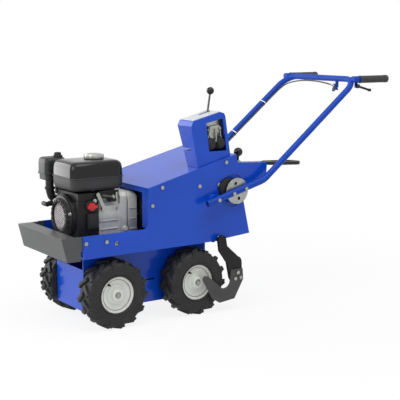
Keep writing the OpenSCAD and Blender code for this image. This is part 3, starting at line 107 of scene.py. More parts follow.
floor_mesh = bpy.data.meshes.new("studio_floor")
half_floor = FLOOR_SIZE / 2
floor_corners = [(-half_floor, -half_floor, 0), (half_floor, -half_floor, 0),
                 (half_floor, half_floor, 0), (-half_floor, half_floor, 0)]
floor_mesh.from_pydata(floor_corners, [], [(0, 1, 2, 3)])
floor = bpy.data.objects.new("studio_floor", floor_mesh)
scene.collection.objects.link(floor)
floor_paint = bpy.data.materials.new("studio_floor_white")
floor_paint.use_nodes = True
floor_tree = floor_paint.node_tree
floor_tree.nodes.remove(floor_tree.nodes["Principled BSDF"])
floor_matt = floor_tree.nodes.new("ShaderNodeBsdfDiffuse")
floor_matt.inputs["Color"].default_value = (0.9, 0.9, 0.9, 1.0)
floor_glow = floor_tree.nodes.new("ShaderNodeEmission")
floor_place = floor_tree.nodes.new("ShaderNodeTexCoord")
floor_away = floor_tree.nodes.new("ShaderNodeVectorMath")
floor_away.operation = "LENGTH"
floor_tree.links.new(floor_place.outputs["Object"], floor_away.inputs[0])
floor_fade = floor_tree.nodes.new("ShaderNodeMapRange")
floor_fade.interpolation_type = "SMOOTHSTEP"
floor_fade.inputs["From Min"].default_value = FLOOR_GLOW_FROM
floor_fade.inputs["From Max"].default_value = FLOOR_GLOW_FULL
floor_fade.inputs["To Min"].default_value = FLOOR_GLOW_NEAR
floor_fade.inputs["To Max"].default_value = 1.0
floor_tree.links.new(floor_away.outputs["Value"], floor_fade.inputs["Value"])
floor_share = combined(floor_tree, "MULTIPLY", seen_or_mirrored(floor_tree), floor_fade.outputs["Result"])
floor_mix = floor_tree.nodes.new("ShaderNodeMixShader")
floor_tree.links.new(floor_share, floor_mix.inputs["Fac"])
floor_tree.links.new(floor_matt.outputs[0], floor_mix.inputs[1])
floor_tree.links.new(floor_glow.outputs[0], floor_mix.inputs[2])
floor_tree.links.new(floor_mix.outputs[0], floor_tree.nodes["Material Output"].inputs["Surface"])
floor_mesh.materials.append(floor_paint)

# Control cable: a steel wire in a dark plastic jacket, from the throttle bracket to the cover's rear lip.
# It hangs under the crossbar, runs down the inside of the right tube and is held there by two nylon ties.
ORIGIN_BEHIND = 366.5
CABLE_DIAMETER = 6.0
CABLE_ROUTE = [
    (956, -101, 874), (940, -80, 882), (930, -40, 889), (926, 10, 892), (925, 60, 892), (926, 110, 888),
    (927, 160, 880), (924, 196, 869), (905, 213, 849), (870, 214, 822), (815, 214, 779), (760, 214, 735),
    (705, 214, 692), (650, 214, 648), (600, 213, 609), (565, 205, 583), (538, 188, 565), (510, 177, 553),
    (470, 174, 546), (430, 174, 545), (400, 176, 545), (369, 178, 545),
]
TIE_PLACES = [820.0, 660.0]
TIE_WIDTH = 5.0
TIE_THICKNESS = 1.4
TIE_SLACK = 0.2
TIE_STEPS = 40
CABLE_SIDE = 214.0
HANDLE_SIDE = 232.0
HANDLE_TUBE = 25.4
HANDLE_KNEE = Vector((478.0, 0.0, 517.0))
HANDLE_TOP = Vector((966.0, 0.0, 905.0))


def at(x, y, z):
    """A place in millimetres from mid wheelbase, as a point of the frame in metres."""
    return Vector((x - ORIGIN_BEHIND, y, z)) / 1000


def effect_group(name, inputs, outputs):
    """An empty shader node group with the named sockets; returns its tree, input node and output node."""
    tree = bpy.data.node_groups.new(name, "ShaderNodeTree")
    for label, kind, value in inputs:
        tree.interface.new_socket(label, in_out="INPUT", socket_type=kind).default_value = value
    for label, kind in outputs:
        tree.interface.new_socket(label, in_out="OUTPUT", socket_type=kind)
    return tree, tree.nodes.new("NodeGroupInput"), tree.nodes.new("NodeGroupOutput")


def noise_in(tree, detail):
    """A noise texture that sticks to the piece's own coordinates."""
    place = tree.nodes.new("ShaderNodeTexCoord")
    noise = tree.nodes.new("ShaderNodeTexNoise")
    noise.inputs["Detail"].default_value = detail
    tree.links.new(place.outputs["Object"], noise.inputs["Vector"])
    return noise


def make_tone_group():
    """Two tones of one finish, mixed in soft patches."""
    tree, given, made = effect_group(
        "uneven_tone",
        [("Tone", "NodeSocketColor", (0.5, 0.5, 0.5, 1.0)),
         ("Second Tone", "NodeSocketColor", (0.4, 0.4, 0.4, 1.0)), ("Patch Scale", "NodeSocketFloat", 8.0)],
        [("Color", "NodeSocketColor")],
    )
    noise = noise_in(tree, 3.0)
    tree.links.new(given.outputs["Patch Scale"], noise.inputs["Scale"])
    spread = tree.nodes.new("ShaderNodeMapRange")
    spread.inputs["From Min"].default_value = 0.32
    spread.inputs["From Max"].default_value = 0.68
    tree.links.new(noise.outputs["Fac"], spread.inputs["Value"])
    mix = tree.nodes.new("ShaderNodeMix")
    mix.data_type = "RGBA"
    tree.links.new(spread.outputs["Result"], mix.inputs["Factor"])
    tree.links.new(given.outputs["Tone"], mix.inputs["A"])
    tree.links.new(given.outputs["Second Tone"], mix.inputs["B"])
    tree.links.new(mix.outputs["Result"], made.inputs["Color"])
    return tree


def make_grain_group():
    """A fine grain: roughness between two values, and a height for a bump."""
    tree, given, made = effect_group(
        "fine_grain",
        [("Grain Scale", "NodeSocketFloat", 400.0), ("Smoothest", "NodeSocketFloat", 0.3),
         ("Roughest", "NodeSocketFloat", 0.5)],
        [("Roughness", "NodeSocketFloat"), ("Height", "NodeSocketFloat")],
    )
    noise = noise_in(tree, 4.0)
    tree.links.new(given.outputs["Grain Scale"], noise.inputs["Scale"])
    rough = tree.nodes.new("ShaderNodeMapRange")
    tree.links.new(noise.outputs["Fac"], rough.inputs["Value"])
    tree.links.new(given.outputs["Smoothest"], rough.inputs["To Min"])
    tree.links.new(given.outputs["Roughest"], rough.inputs["To Max"])
    tree.links.new(rough.outputs["Result"], made.inputs["Roughness"])
    tree.links.new(noise.outputs["Fac"], made.inputs["Height"])
    return tree


def make_wear_group():
    """A mask of rubbed edges: where a rounded normal departs from the true one, broken up by noise."""
    tree, given, made = effect_group(
        "rubbed_edges",
        [("Reach", "NodeSocketFloat", 0.003), ("Amount", "NodeSocketFloat", 0.5)],
        [("Mask", "NodeSocketFloat")],
    )
    rounded = tree.nodes.new("ShaderNodeBevel")
    rounded.samples = 4
    tree.links.new(given.outputs["Reach"], rounded.inputs["Radius"])
    true_face = tree.nodes.new("ShaderNodeNewGeometry")
    agree = tree.nodes.new("ShaderNodeVectorMath")
    agree.operation = "DOT_PRODUCT"
    tree.links.new(rounded.outputs["Normal"], agree.inputs[0])
    tree.links.new(true_face.outputs["Normal"], agree.inputs[1])
    edge = tree.nodes.new("ShaderNodeMapRange")
    edge.inputs["From Min"].default_value = 0.99
    edge.inputs["From Max"].default_value = 0.85
    tree.links.new(agree.outputs["Value"], edge.inputs["Value"])
    noise = noise_in(tree, 5.0)
    noise.inputs["Scale"].default_value = 90.0
    broken = combined(tree, "MULTIPLY", edge.outputs["Result"], noise.outputs["Fac"])
    scaled = combined(tree, "MULTIPLY", broken, given.outputs["Amount"])
    tree.links.new(scaled, made.inputs["Mask"])
    return tree


COAT_ROUGHNESS = 0.16
GRAIN_DEPTH = 0.0004
uneven_tone = make_tone_group()
fine_grain = make_grain_group()
rubbed_edges = make_wear_group()


def surface(name, tone, second_tone, patches, grain, smoothest, roughest, bump, metallic=0.0, coat=0.0,
            specular=0.5, worn_tone=None, worn=0.0, reach=0.003):
    """A finish with two soft tones, a fine grain in gloss and bump, and rubbed edges if worn is above 0."""
    material = bpy.data.materials.new(name)
    material.use_nodes = True
    tree = material.node_tree
    shader = tree.nodes["Principled BSDF"]
    shader.inputs["Metallic"].default_value = metallic
    shader.inputs["Specular IOR Level"].default_value = specular
    shader.inputs["Coat Weight"].default_value = coat
    shader.inputs["Coat Roughness"].default_value = COAT_ROUGHNESS
    tones = tree.nodes.new("ShaderNodeGroup")
    tones.node_tree = uneven_tone
    tones.inputs["Tone"].default_value = (*tone, 1.0)
    tones.inputs["Second Tone"].default_value = (*second_tone, 1.0)
    tones.inputs["Patch Scale"].default_value = patches
    colour = tones.outputs["Color"]
    if worn > 0.0:
        wear = tree.nodes.new("ShaderNodeGroup")
        wear.node_tree = rubbed_edges
        wear.inputs["Reach"].default_value = reach
        wear.inputs["Amount"].default_value = worn
        rubbed = tree.nodes.new("ShaderNodeMix")
        rubbed.data_type = "RGBA"
        rubbed.inputs["B"].default_value = (*worn_tone, 1.0)
        tree.links.new(wear.outputs["Mask"], rubbed.inputs["Factor"])
        tree.links.new(colour, rubbed.inputs["A"])
        colour = rubbed.outputs["Result"]
    tree.links.new(colour, shader.inputs["Base Color"])
    grains = tree.nodes.new("ShaderNodeGroup")
    grains.node_tree = fine_grain
    grains.inputs["Grain Scale"].default_value = grain
    grains.inputs["Smoothest"].default_value = smoothest
    grains.inputs["Roughest"].default_value = roughest
    tree.links.new(grains.outputs["Roughness"], shader.inputs["Roughness"])
    relief = tree.nodes.new("ShaderNodeBump")
    relief.inputs["Strength"].default_value = bump
    relief.inputs["Distance"].default_value = GRAIN_DEPTH
    tree.links.new(grains.outputs["Height"], relief.inputs["Height"])
    tree.links.new(relief.outputs["Normal"], shader.inputs["Normal"])
    return material


def make_piece(name, mesh, material, body, edge=0.0, sharp=32.0):
    """Closes a mesh into a named piece with a finish, rounds its edges and fixes it to a body."""
    bmesh.ops.remove_doubles(mesh, verts=mesh.verts, dist=2e-6)
    bmesh.ops.dissolve_degenerate(mesh, edges=mesh.edges, dist=1e-6)
    bmesh.ops.recalc_face_normals(mesh, faces=mesh.faces)
    data = bpy.data.meshes.new(name)
    mesh.to_mesh(data)
    mesh.free()
    data.materials.append(material)
    data.shade_smooth()
    data.set_sharp_from_angle(angle=math.radians(sharp))
    piece = bpy.data.objects.new(name, data)
    scene.collection.objects.link(piece)
    if edge > 0.0:
        round_edges(piece, edge)
    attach(piece, body)
    return piece


def round_edges(piece, width):
    """Rounds a piece's sharp edges by a width in metres."""
    bevel = piece.modifiers.new("rounded_edges", "BEVEL")
    bevel.width = width
    bevel.segments = 2
    bevel.limit_method = "ANGLE"
    bevel.angle_limit = math.radians(38.0)
    bevel.harden_normals = True


def add_prism(mesh, outline, low, high, place):
    """An outline of (u, v) points made thick from low to high; place(u, v, w) puts a corner in the frame."""
    bottom = [mesh.verts.new(place(u, v, low)) for u, v in outline]
    top = [mesh.verts.new(place(u, v, high)) for u, v in outline]
    mesh.faces.new(bottom)
    mesh.faces.new(reversed(top))
    for i in range(len(outline)):
        j = (i + 1) % len(outline)
        mesh.faces.new((bottom[i], top[i], top[j], bottom[j]))


cable_jacket = surface("cable_jacket", (0.035, 0.036, 0.042), (0.05, 0.05, 0.056), 60.0, 1500.0, 0.35, 0.5, 0.1)
cable_curve = bpy.data.curves.new("control_cable_jacket", "CURVE")
cable_curve.dimensions = "3D"
cable_curve.bevel_depth = CABLE_DIAMETER / 2000
cable_curve.bevel_resolution = 4
cable_curve.use_fill_caps = True
cable_line = cable_curve.splines.new("BEZIER")
cable_line.resolution_u = 6
cable_line.bezier_points.add(len(CABLE_ROUTE) - 1)
for i, place in enumerate(CABLE_ROUTE):
    before = at(*CABLE_ROUTE[max(i - 1, 0)])
    after = at(*CABLE_ROUTE[min(i + 1, len(CABLE_ROUTE) - 1)])
    way = (after - before).normalized()
    knot = cable_line.bezier_points[i]
    knot.handle_left_type = "FREE"
    knot.handle_right_type = "FREE"
    knot.co = at(*place)
    knot.handle_left = knot.co - way * (knot.co - before).length / 3
    knot.handle_right = knot.co + way * (after - knot.co).length / 3
cable_curve.materials.append(cable_jacket)
control_cable_jacket = bpy.data.objects.new("control_cable_jacket", cable_curve)
scene.collection.objects.link(control_cable_jacket)
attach(control_cable_jacket, "chassis")
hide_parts("control_cable")


def band_round(circles, steps):
    """The outline of a band drawn tight round circles given as (u, v, radius): their convex hull, in order."""
    points = sorted(
        (u + radius * math.cos(math.tau * k / steps), v + radius * math.sin(math.tau * k / steps))
        for u, v, radius in circles for k in range(steps)
    )
    halves = []
    for run in (points, points[::-1]):
        chain = []
        for p in run:
            while len(chain) > 1 and (
                (chain[-1][0] - chain[-2][0]) * (p[1] - chain[-2][1])
                - (chain[-1][1] - chain[-2][1]) * (p[0] - chain[-2][0]) <= 0
            ):
                chain.pop()
            chain.append(p)
        halves.append(chain[:-1])
    return halves[0] + halves[1]


nylon = surface("white_nylon", (0.82, 0.82, 0.8), (0.74, 0.74, 0.72), 60.0, 1200.0, 0.35, 0.5, 0.1)
tube_way = (HANDLE_TOP - HANDLE_KNEE).normalized()
tube_lift = Vector((0, 1, 0)).cross(tube_way)
tie_mesh = bmesh.new()
for tie_x in TIE_PLACES:
    tube_centre = HANDLE_KNEE + tube_way * ((tie_x - HANDLE_KNEE.x) / tube_way.x) + Vector((0, HANDLE_SIDE, 0))

    def on_tube(u, v, w, middle=tube_centre):
        """A place across the tube at the tie: u towards the right, v upwards and w along it."""
        return at(*(middle + Vector((0, u, 0)) + tube_lift * v + tube_way * w))

    inner, outer = (
        band_round([(0, 0, HANDLE_TUBE / 2 + away), (CABLE_SIDE - HANDLE_SIDE, 0, CABLE_DIAMETER / 2 + away)],
                   TIE_STEPS)
        for away in (TIE_SLACK, TIE_THICKNESS)
    )
    rings = []
    for outline, w in ((inner, -1), (outer, -1), (outer, 1), (inner, 1)):
        rings.append([tie_mesh.verts.new(on_tube(u, v, w * TIE_WIDTH / 2)) for u, v in outline])
    for a, b in ((rings[0], rings[1]), (rings[1], rings[2]), (rings[2], rings[3]), (rings[3], rings[0])):
        bmesh.ops.bridge_loops(tie_mesh, edges=[
            tie_mesh.edges.get((ring[i], ring[(i + 1) % len(ring)]))
            or tie_mesh.edges.new((ring[i], ring[(i + 1) % len(ring)]))
            for ring in (a, b) for i in range(len(ring))
        ])
    add_prism(tie_mesh, [(-4, 12.8), (4, 12.8), (4, 17.5), (-4, 17.5)], -4.0, 4.0, on_tube)
cable_ties = make_piece("cable_ties", tie_mesh, nylon, "chassis", edge=0.0004)

zinc = surface("zinc_plate", (0.42, 0.43, 0.4), (0.32, 0.33, 0.3), 40.0, 600.0, 0.28, 0.45, 0.1, metallic=1.0)


def add_lathe(mesh, profile, centre, axis, turns=56):
    """Turns a closed profile of (along, radius) points in millimetres about an axis through a place."""
    way = Vector(axis).normalized()
    side = way.orthogonal().normalized()
    lift = way.cross(side)
    rings = []
    for step in range(turns):
        angle = math.tau * step / turns
        out = side * math.cos(angle) + lift * math.sin(angle)
        points = [centre + (way * along + out * radius) / 1000 for along, radius in profile]
        rings.append([mesh.verts.new(point) for point in points])
    for step in range(turns):
        here = rings[step]
        there = rings[(step + 1) % turns]
        for i in range(len(profile)):
            j = (i + 1) % len(profile)
            mesh.faces.new((here[i], here[j], there[j], there[i]))


def add_rod(mesh, start, end, radius, turns=24):
    """A round bar between two points, with its ends eased."""
    length = (end - start).length * 1000
    ease = min(0.2 * radius, 0.2 * length)
    add_lathe(mesh, [(0, 0), (0, radius - ease), (ease, radius), (length - ease, radius),
                     (length, radius - ease), (length, 0)], start, end - start, turns)


FERRULE_PROFILE = [(0, 3.05), (0, 4.6), (2, 5.0), (9, 5.0), (10, 4.2), (17, 4.0), (18, 3.4), (18, 3.05)]
ferrule_mesh = bmesh.new()
for place, towards in ((CABLE_ROUTE[0], CABLE_ROUTE[1]), (CABLE_ROUTE[-1], CABLE_ROUTE[-2])):
    add_lathe(ferrule_mesh, FERRULE_PROFILE, at(*place), at(*towards) - at(*place), 32)
cable_ferrules = make_piece("cable_ferrules", ferrule_mesh, zinc, "chassis")

# Painted body: cut and folded steel sheet, welded and powder coated in a deep royal blue.
# The coat is smooth and slightly glossy, a little uneven in tone and rubbed paler along its edges.


def dress(material, *names, edge=0.0):
    """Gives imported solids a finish, and rounds their sharp edges by the given radius."""
    for name in names:
        solid = nodes[name]
        solid.data.materials.clear()
        solid.data.materials.append(material)
        if edge > 0.0:
            weld = solid.modifiers.new("joined_corners", "WELD")
            weld.merge_threshold = 0.00002
            flat = solid.modifiers.new("whole_faces", "DECIMATE")
            flat.decimate_type = "DISSOLVE"
            flat.angle_limit = math.radians(0.5)
            round_edges(solid, edge)


blue_paint = surface("royal_blue_paint", (0.001, 0.066, 0.54), (0.001, 0.056, 0.47), 5.0, 700.0, 0.34, 0.42,
                     0.06, coat=0.58, specular=0.08, worn_tone=(0.05, 0.12, 0.55), worn=0.7)
dress(blue_paint, "left_side_panel", "right_side_panel", "engine_deck", "lower_frame", "top_cover", edge=0.0012)

# Front bumper: a folded plate with a raked face, painted a satin charcoal grey.
# Its flange and ends are one with the face, and it is bolted inside the two strips.
bumper_paint = surface("charcoal_bumper_paint", (0.065, 0.067, 0.069), (0.054, 0.056, 0.058), 7.0, 900.0,
                       0.34, 0.44, 0.1, worn_tone=(0.2, 0.2, 0.2), worn=0.6)
dress(bumper_paint, "front_bumper", edge=0.0015)

# Body bolts: zinc-plated hexagon bolts through both panels and the handlebar.
# The engine stands on four more of them.
dress(zinc, "frame_bolts", edge=0.0005)

# Wheels: four rims pressed and welded from steel sheet, painted a light grey, two on each axle.
# Each has a rolled lip, a shallow dish with a raised ring and a welded hub, held by a bolt and a washer.
AXLE_PLACES = {"front": -179.0, "rear": 179.0}
AXLE_HEIGHT = 130.0
WHEEL_SIDE = 164.0
RIM_PROFILE = [
    (31.5, 68.5), (32.5, 70.3), (34.2, 70.5), (35.6, 69.6), (36.0, 68.0), (35.4, 66.4), (33.6, 65.2),
    (30.2, 64.2), (28.2, 62.6), (27.2, 60.0), (25.4, 52.0), (23.4, 43.0), (23.6, 40.6), (25.6, 38.6),
    (27.0, 36.4), (27.2, 33.8), (26.2, 31.6), (25.0, 29.6), (25.0, 25.2), (26.6, 22.6), (29.5, 21.4),
    (39.4, 21.2), (40.7, 20.2), (41.0, 18.6), (41.0, 13.6), (40.4, 12.8), (-32.0, 12.8), (-32.0, 21.0),
    (12.0, 21.0), (15.0, 30.0), (20.0, 52.6), (-29.0, 52.6), (-32.0, 56.0), (-35.0, 65.0), (-36.0, 68.5),
    (-35.0, 70.3), (-33.0, 70.5), (-31.8, 69.0), (-31.0, 59.6), (-29.4, 57.6), (29.4, 57.6), (31.0, 59.6),
]
HUB_END = 37.2
HUB_WASHER = [(0, 5.2), (0, 11.6), (0.6, 12.2), (2.4, 12.2), (3.0, 11.6), (3.0, 5.2)]
HUB_BOLT = [(3, 0), (3, 8.2), (8.6, 8.2), (9.6, 7.2), (9.6, 0)]
VALVE_STEM = [(0, 0), (0, 6.0), (2, 6.2), (4, 4.4), (12, 4.0), (13, 3.2), (20, 3.0), (20.5, 2.4), (20.5, 0)]
SIDEWALL_RIBS = [(73.5, 0.9), (86.0, 1.2), (99.0, 0.9)]
SIDEWALL_FACE = 43.0
LUG_COUNT = 14
LUG_END_TURN = -8.5
SHOULDER_LUG = [(-7.5, 126), (7.5, 126), (6.5, 105), (3.5, 101), (-3.5, 101), (-6.5, 105)]

rim_paint = surface("light_grey_rim_paint", (0.78, 0.79, 0.75), (0.7, 0.71, 0.67), 18.0, 700.0, 0.34, 0.5, 0.1,
                    worn_tone=(0.34, 0.33, 0.31), worn=0.5)
tyre_rubber = surface("tyre_rubber", (0.014, 0.014, 0.015), (0.022, 0.022, 0.023), 25.0, 1400.0, 0.55, 0.75,
                      0.35, specular=0.4, worn_tone=(0.07, 0.07, 0.07), worn=0.5)
for axle, axle_x in AXLE_PLACES.items():
    rim_mesh = bmesh.new()
    bolt_mesh = bmesh.new()
    valve_mesh = bmesh.new()
    rib_mesh = bmesh.new()
    for side in (-1, 1):
        wheel_centre = at(axle_x, side * WHEEL_SIDE, AXLE_HEIGHT)
        outward = Vector((0, side, 0))
        add_lathe(rim_mesh, RIM_PROFILE, wheel_centre, outward, 72)
        hub_end = wheel_centre + outward * HUB_END / 1000
        add_lathe(bolt_mesh, HUB_WASHER, hub_end, outward, 40)
        add_lathe(bolt_mesh, HUB_BOLT, hub_end, outward, 6)
        add_lathe(valve_mesh, VALVE_STEM, wheel_centre + Vector((-0.033, side * 0.022, 0.042)), outward, 24)
        for face in (-1, 1):
            for radius, proud in SIDEWALL_RIBS:
                add_lathe(rib_mesh, [(-2, radius - 3), (0, radius - 1.6), (proud, radius - 0.7),
                                     (proud, radius + 0.7), (0, radius + 1.6), (-2, radius + 3)],
                          wheel_centre + outward * face * SIDEWALL_FACE / 1000, outward * face, 72)
            lug_row = side * face
            for lug in range(LUG_COUNT):
                turn = math.tau * (lug + (lug_row + 1) / 4) / LUG_COUNT + math.radians(LUG_END_TURN)
                radial = Vector((math.sin(turn), 0, math.cos(turn)))
                tangent = Vector((math.cos(turn), 0, -math.sin(turn)))

                def on_shoulder(u, v, w, middle=wheel_centre, tangent=tangent, radial=radial, lug_row=lug_row):
                    """A place on a lug's foot: u along the tread, v out from the axle, w out from the wheel."""
                    return middle + (tangent * u + radial * v + Vector((0, lug_row * w, 0))) / 1000

                add_prism(rib_mesh, SHOULDER_LUG, SIDEWALL_FACE - 8, SIDEWALL_FACE + 2, on_shoulder)
    body = axle + "_wheels"
    rim_piece = make_piece(axle + "_wheel_discs", rim_mesh, rim_paint, body)
    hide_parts(axle + "_rims")
    make_piece(axle + "_hub_bolts", bolt_mesh, zinc, body, edge=0.0004)
    make_piece(axle + "_valve_stems", valve_mesh, tyre_rubber, body)
    make_piece(axle + "_sidewall_ribs", rib_mesh, tyre_rubber, body, edge=0.001)
dress(tyre_rubber, "front_left_tyre", "front_right_tyre", "rear_left_tyre", "rear_right_tyre", edge=0.0022)

# Drive: turned steel shafts and sprockets, a roller chain, cast sheaves with a rubber belt and a cast gearbox.
# They run between the side plates of the lower frame and are greased, so they are dull and a little dark.
steel = surface("machined_steel", (0.5, 0.5, 0.51), (0.4, 0.4, 0.41), 30.0, 500.0, 0.25, 0.42, 0.1,
                metallic=1.0)
dress(steel, "front_axle", "rear_axle", "cross_shaft", "connecting_rods", "crankshaft", edge=0.0006)
dress(steel, "front_sprocket", "rear_sprocket", "drive_sprocket")
chain_steel = surface("oiled_chain", (0.16, 0.155, 0.15), (0.09, 0.087, 0.084), 220.0, 300.0, 0.3, 0.55,
                      0.6, metallic=0.9)
dress(chain_steel, "drive_chain")
cast_iron = surface("cast_iron", (0.1, 0.1, 0.105), (0.07, 0.07, 0.072), 25.0, 500.0, 0.55, 0.75, 0.5)
dress(cast_iron, "axle_bearings", "drive_gearbox", "engine_sheave", "gearbox_sheave", edge=0.0015)
belt_rubber = surface("belt_rubber", (0.02, 0.02, 0.021), (0.03, 0.03, 0.03), 60.0, 1500.0, 0.6, 0.8, 0.3)
dress(belt_rubber, "drive_belt")

# Blade: a U of hardened steel plate on two forged arms, painted black, with zinc-plated bolts in each leg.
# The arms hang on the rocker shaft of the carrier, which slides on the frame's guide posts.
black_paint = surface("black_paint", (0.008, 0.008, 0.009), (0.013, 0.013, 0.014), 20.0, 900.0, 0.35, 0.52,
                      0.15, specular=0.22, worn_tone=(0.16, 0.16, 0.16), worn=0.5)
dress(black_paint, "blade_arms", "blade_carrier", edge=0.002)
blade_steel = surface("dark_blade_steel", (0.034, 0.034, 0.036), (0.05, 0.049, 0.048), 16.0, 500.0, 0.34,
                      0.52, 0.2, worn_tone=(0.3, 0.29, 0.28), worn=0.4)
dress(blade_steel, "blade", edge=0.0012)
dress(zinc, "blade_bolts", edge=0.0006)

# Console: a folded blue box on the cover, with a pale gate plate on its roof and a window in its outer side.
# In the window are the zinc shift plate, a bell crank with its pull rods and spring, and two rubber boots.
dress(blue_paint, "control_console", edge=0.0012)
pale_paint = surface("pale_gate_paint", (0.6, 0.61, 0.64), (0.53, 0.54, 0.57), 12.0, 800.0, 0.35, 0.5, 0.08,
                     worn_tone=(0.3, 0.3, 0.31), worn=0.5)
dress(pale_paint, "console_plate", edge=0.0005)
dress(zinc, "lever_quadrants", edge=0.0006)


def flat_upright(u, v, w):
    """Puts an outline drawn in X and Z in the frame, with its thickness along Y."""
    return at(u, w, v)


CRANK_PLATE = [(248, 726), (262, 738), (300, 742), (312, 730), (306, 714), (284, 706), (276, 690),
               (262, 690), (254, 708)]
PULL_RODS = [((258, -171, 733), (250, -171, 692)), ((303, -173, 731), (309, -173, 690))]
CRANK_PINS = [(258, 728), (284, 724), (303, 729)]
PIN_PROFILE = [(0, 0), (0, 7.0), (1.2, 7.2), (1.2, 4.6), (6.5, 4.6), (7.2, 3.8), (7.2, 0)]
linkage_mesh = bmesh.new()
add_prism(linkage_mesh, CRANK_PLATE, -170.0, -166.5, flat_upright)
for start, end in PULL_RODS:
    add_rod(linkage_mesh, at(*start), at(*end), 2.6)
for pin_x, pin_z in CRANK_PINS:
    add_lathe(linkage_mesh, PIN_PROFILE, at(pin_x, -170, pin_z), (0, -1, 0), 24)
make_piece("console_linkage", linkage_mesh, zinc, "chassis", edge=0.0005)


def coil_points(start, end, radius, turns, steps):
    """Points of a coil spring about the line from start to end, with a straight hook at each end."""
    way = end - start
    side = way.orthogonal().normalized() * radius
    lift = way.normalized().cross(side)
    points = [start]
    for step in range(steps + 1):
        share = step / steps
        angle = math.tau * turns * share
        points.append(start + way * (0.12 + 0.76 * share) + side * math.cos(angle) + lift * math.sin(angle))
    points.append(end)
    return points


def add_wire(mesh, points, radius, sides=8):
    """A round wire along a row of points, closed at both ends."""
    rings = []
    for i, point in enumerate(points):
        way = (points[min(i + 1, len(points) - 1)] - points[max(i - 1, 0)]).normalized()
        side = way.cross(Vector((0.31, 0.17, 0.94))).normalized() * radius
        lift = way.cross(side)
        turns = [math.tau * k / sides for k in range(sides)]
        rings.append([mesh.verts.new(point + side * math.cos(turn) + lift * math.sin(turn)) for turn in turns])
    for here, there in zip(rings, rings[1:]):
        for k in range(sides):
            mesh.faces.new((here[k], here[(k + 1) % sides], there[(k + 1) % sides], there[k]))
    mesh.faces.new(rings[0])
    mesh.faces.new(reversed(rings[-1]))


spring_mesh = bmesh.new()
add_wire(spring_mesh, coil_points(at(284, -176, 722), at(282, -176, 672), 0.0052, 11, 132), 0.0009)
make_piece("console_spring", spring_mesh, zinc, "chassis")

BOOT_PROFILE = [(0, 0), (0, 26), (3, 28), (7, 27), (8, 23.5), (11, 25.5), (14, 24.5), (15, 21), (18, 22.5),
                (21, 21.5), (22, 18), (25, 18.5), (27, 15.5), (28, 9.5), (28.5, 0)]
soft_black = surface("black_moulded_rubber", (0.01, 0.01, 0.011), (0.015, 0.015, 0.016), 40.0, 1300.0, 0.42,
                     0.6, 0.2, specular=0.3)
boot_mesh = bmesh.new()
add_lathe(boot_mesh, BOOT_PROFILE, at(260, -156, 667), (0.1, -1, 0.18), 48)
add_lathe(boot_mesh, BOOT_PROFILE, at(306, -156, 671), (0.05, -1, 0.12), 48)
make_piece("console_boots", boot_mesh, soft_black, "chassis")

# Shift lever: a dark steel rod in the console's gate, with a moulded black ball screwed on its end.
# The depth lever's lock knob is the same kind of ball.
gloss_black = surface("gloss_black", (0.006, 0.006, 0.007), (0.01, 0.01, 0.011), 15.0, 900.0, 0.12, 0.2, 0.03,
                      specular=0.35)
dark_rod = surface("dark_lever_rod", (0.1, 0.1, 0.105), (0.07, 0.07, 0.074), 40.0, 600.0, 0.3, 0.45, 0.1,
                   metallic=0.9)
dress(dark_rod, "shift_lever")
dress(gloss_black, "shift_knob", "depth_lock_knob")

# Handlebar: one bent steel tube, powder coated blue, with a ribbed rubber grip on each stub.
# The clutch lever hangs under the left grip and the throttle trigger under the crossbar.
tube_paint = surface("royal_blue_tube_paint", (0.002, 0.056, 0.42), (0.002, 0.046, 0.36), 9.0, 300.0, 0.46,
                     0.54, 0.01, specular=0.25)
dress(tube_paint, "handle_frame")
grip_rubber = surface("grip_rubber", (0.042, 0.042, 0.044), (0.03, 0.03, 0.032), 60.0, 1500.0, 0.55, 0.75, 0.3)
dress(grip_rubber, "hand_grips", edge=0.0012)
dress(black_paint, "clutch_lever", edge=0.0018)
navy_paint = surface("navy_paint", (0.01, 0.015, 0.12), (0.008, 0.012, 0.09), 20.0, 900.0, 0.35, 0.5, 0.1)
dress(navy_paint, "throttle_trigger", edge=0.0008)

# Isolators: a rubber block in each panel's notch with a zinc-plated disc over it, which carries the handlebar.
# A second, moulded bush fills the front of the notch. They keep the engine's shaking out of the handles.
dress(soft_black, "isolator_rubbers", edge=0.001)
BUSH_PROFILE = [(0, 0), (0, 38.5), (2, 40), (6, 40), (7, 37), (9, 37), (10, 39.5), (13, 38.5), (14, 35),
                (14, 14), (11, 12), (11, 0)]
bush_mesh = bmesh.new()
for side in (-1, 1):
    add_lathe(bush_mesh, BUSH_PROFILE, at(322, side * 195.2, 492), (0, side, 0), 56)
make_piece("isolator_bushes", bush_mesh, soft_black, "chassis")
dress(zinc, "isolator_plates", edge=0.0008)

# Depth lever: a flat zinc-plated bar with a black moulded loop grip, locked by a ball knob on a stem.
# It raises and lowers the blade through the notched sector at the cover's rear lip.
dress(zinc, "depth_lever", edge=0.0008)
black_plastic = surface("black_plastic", (0.012, 0.012, 0.013), (0.018, 0.018, 0.019), 30.0, 1200.0, 0.38,
                        0.55, 0.2, specular=0.3)
dress(black_plastic, "depth_lever_grip", edge=0.003)

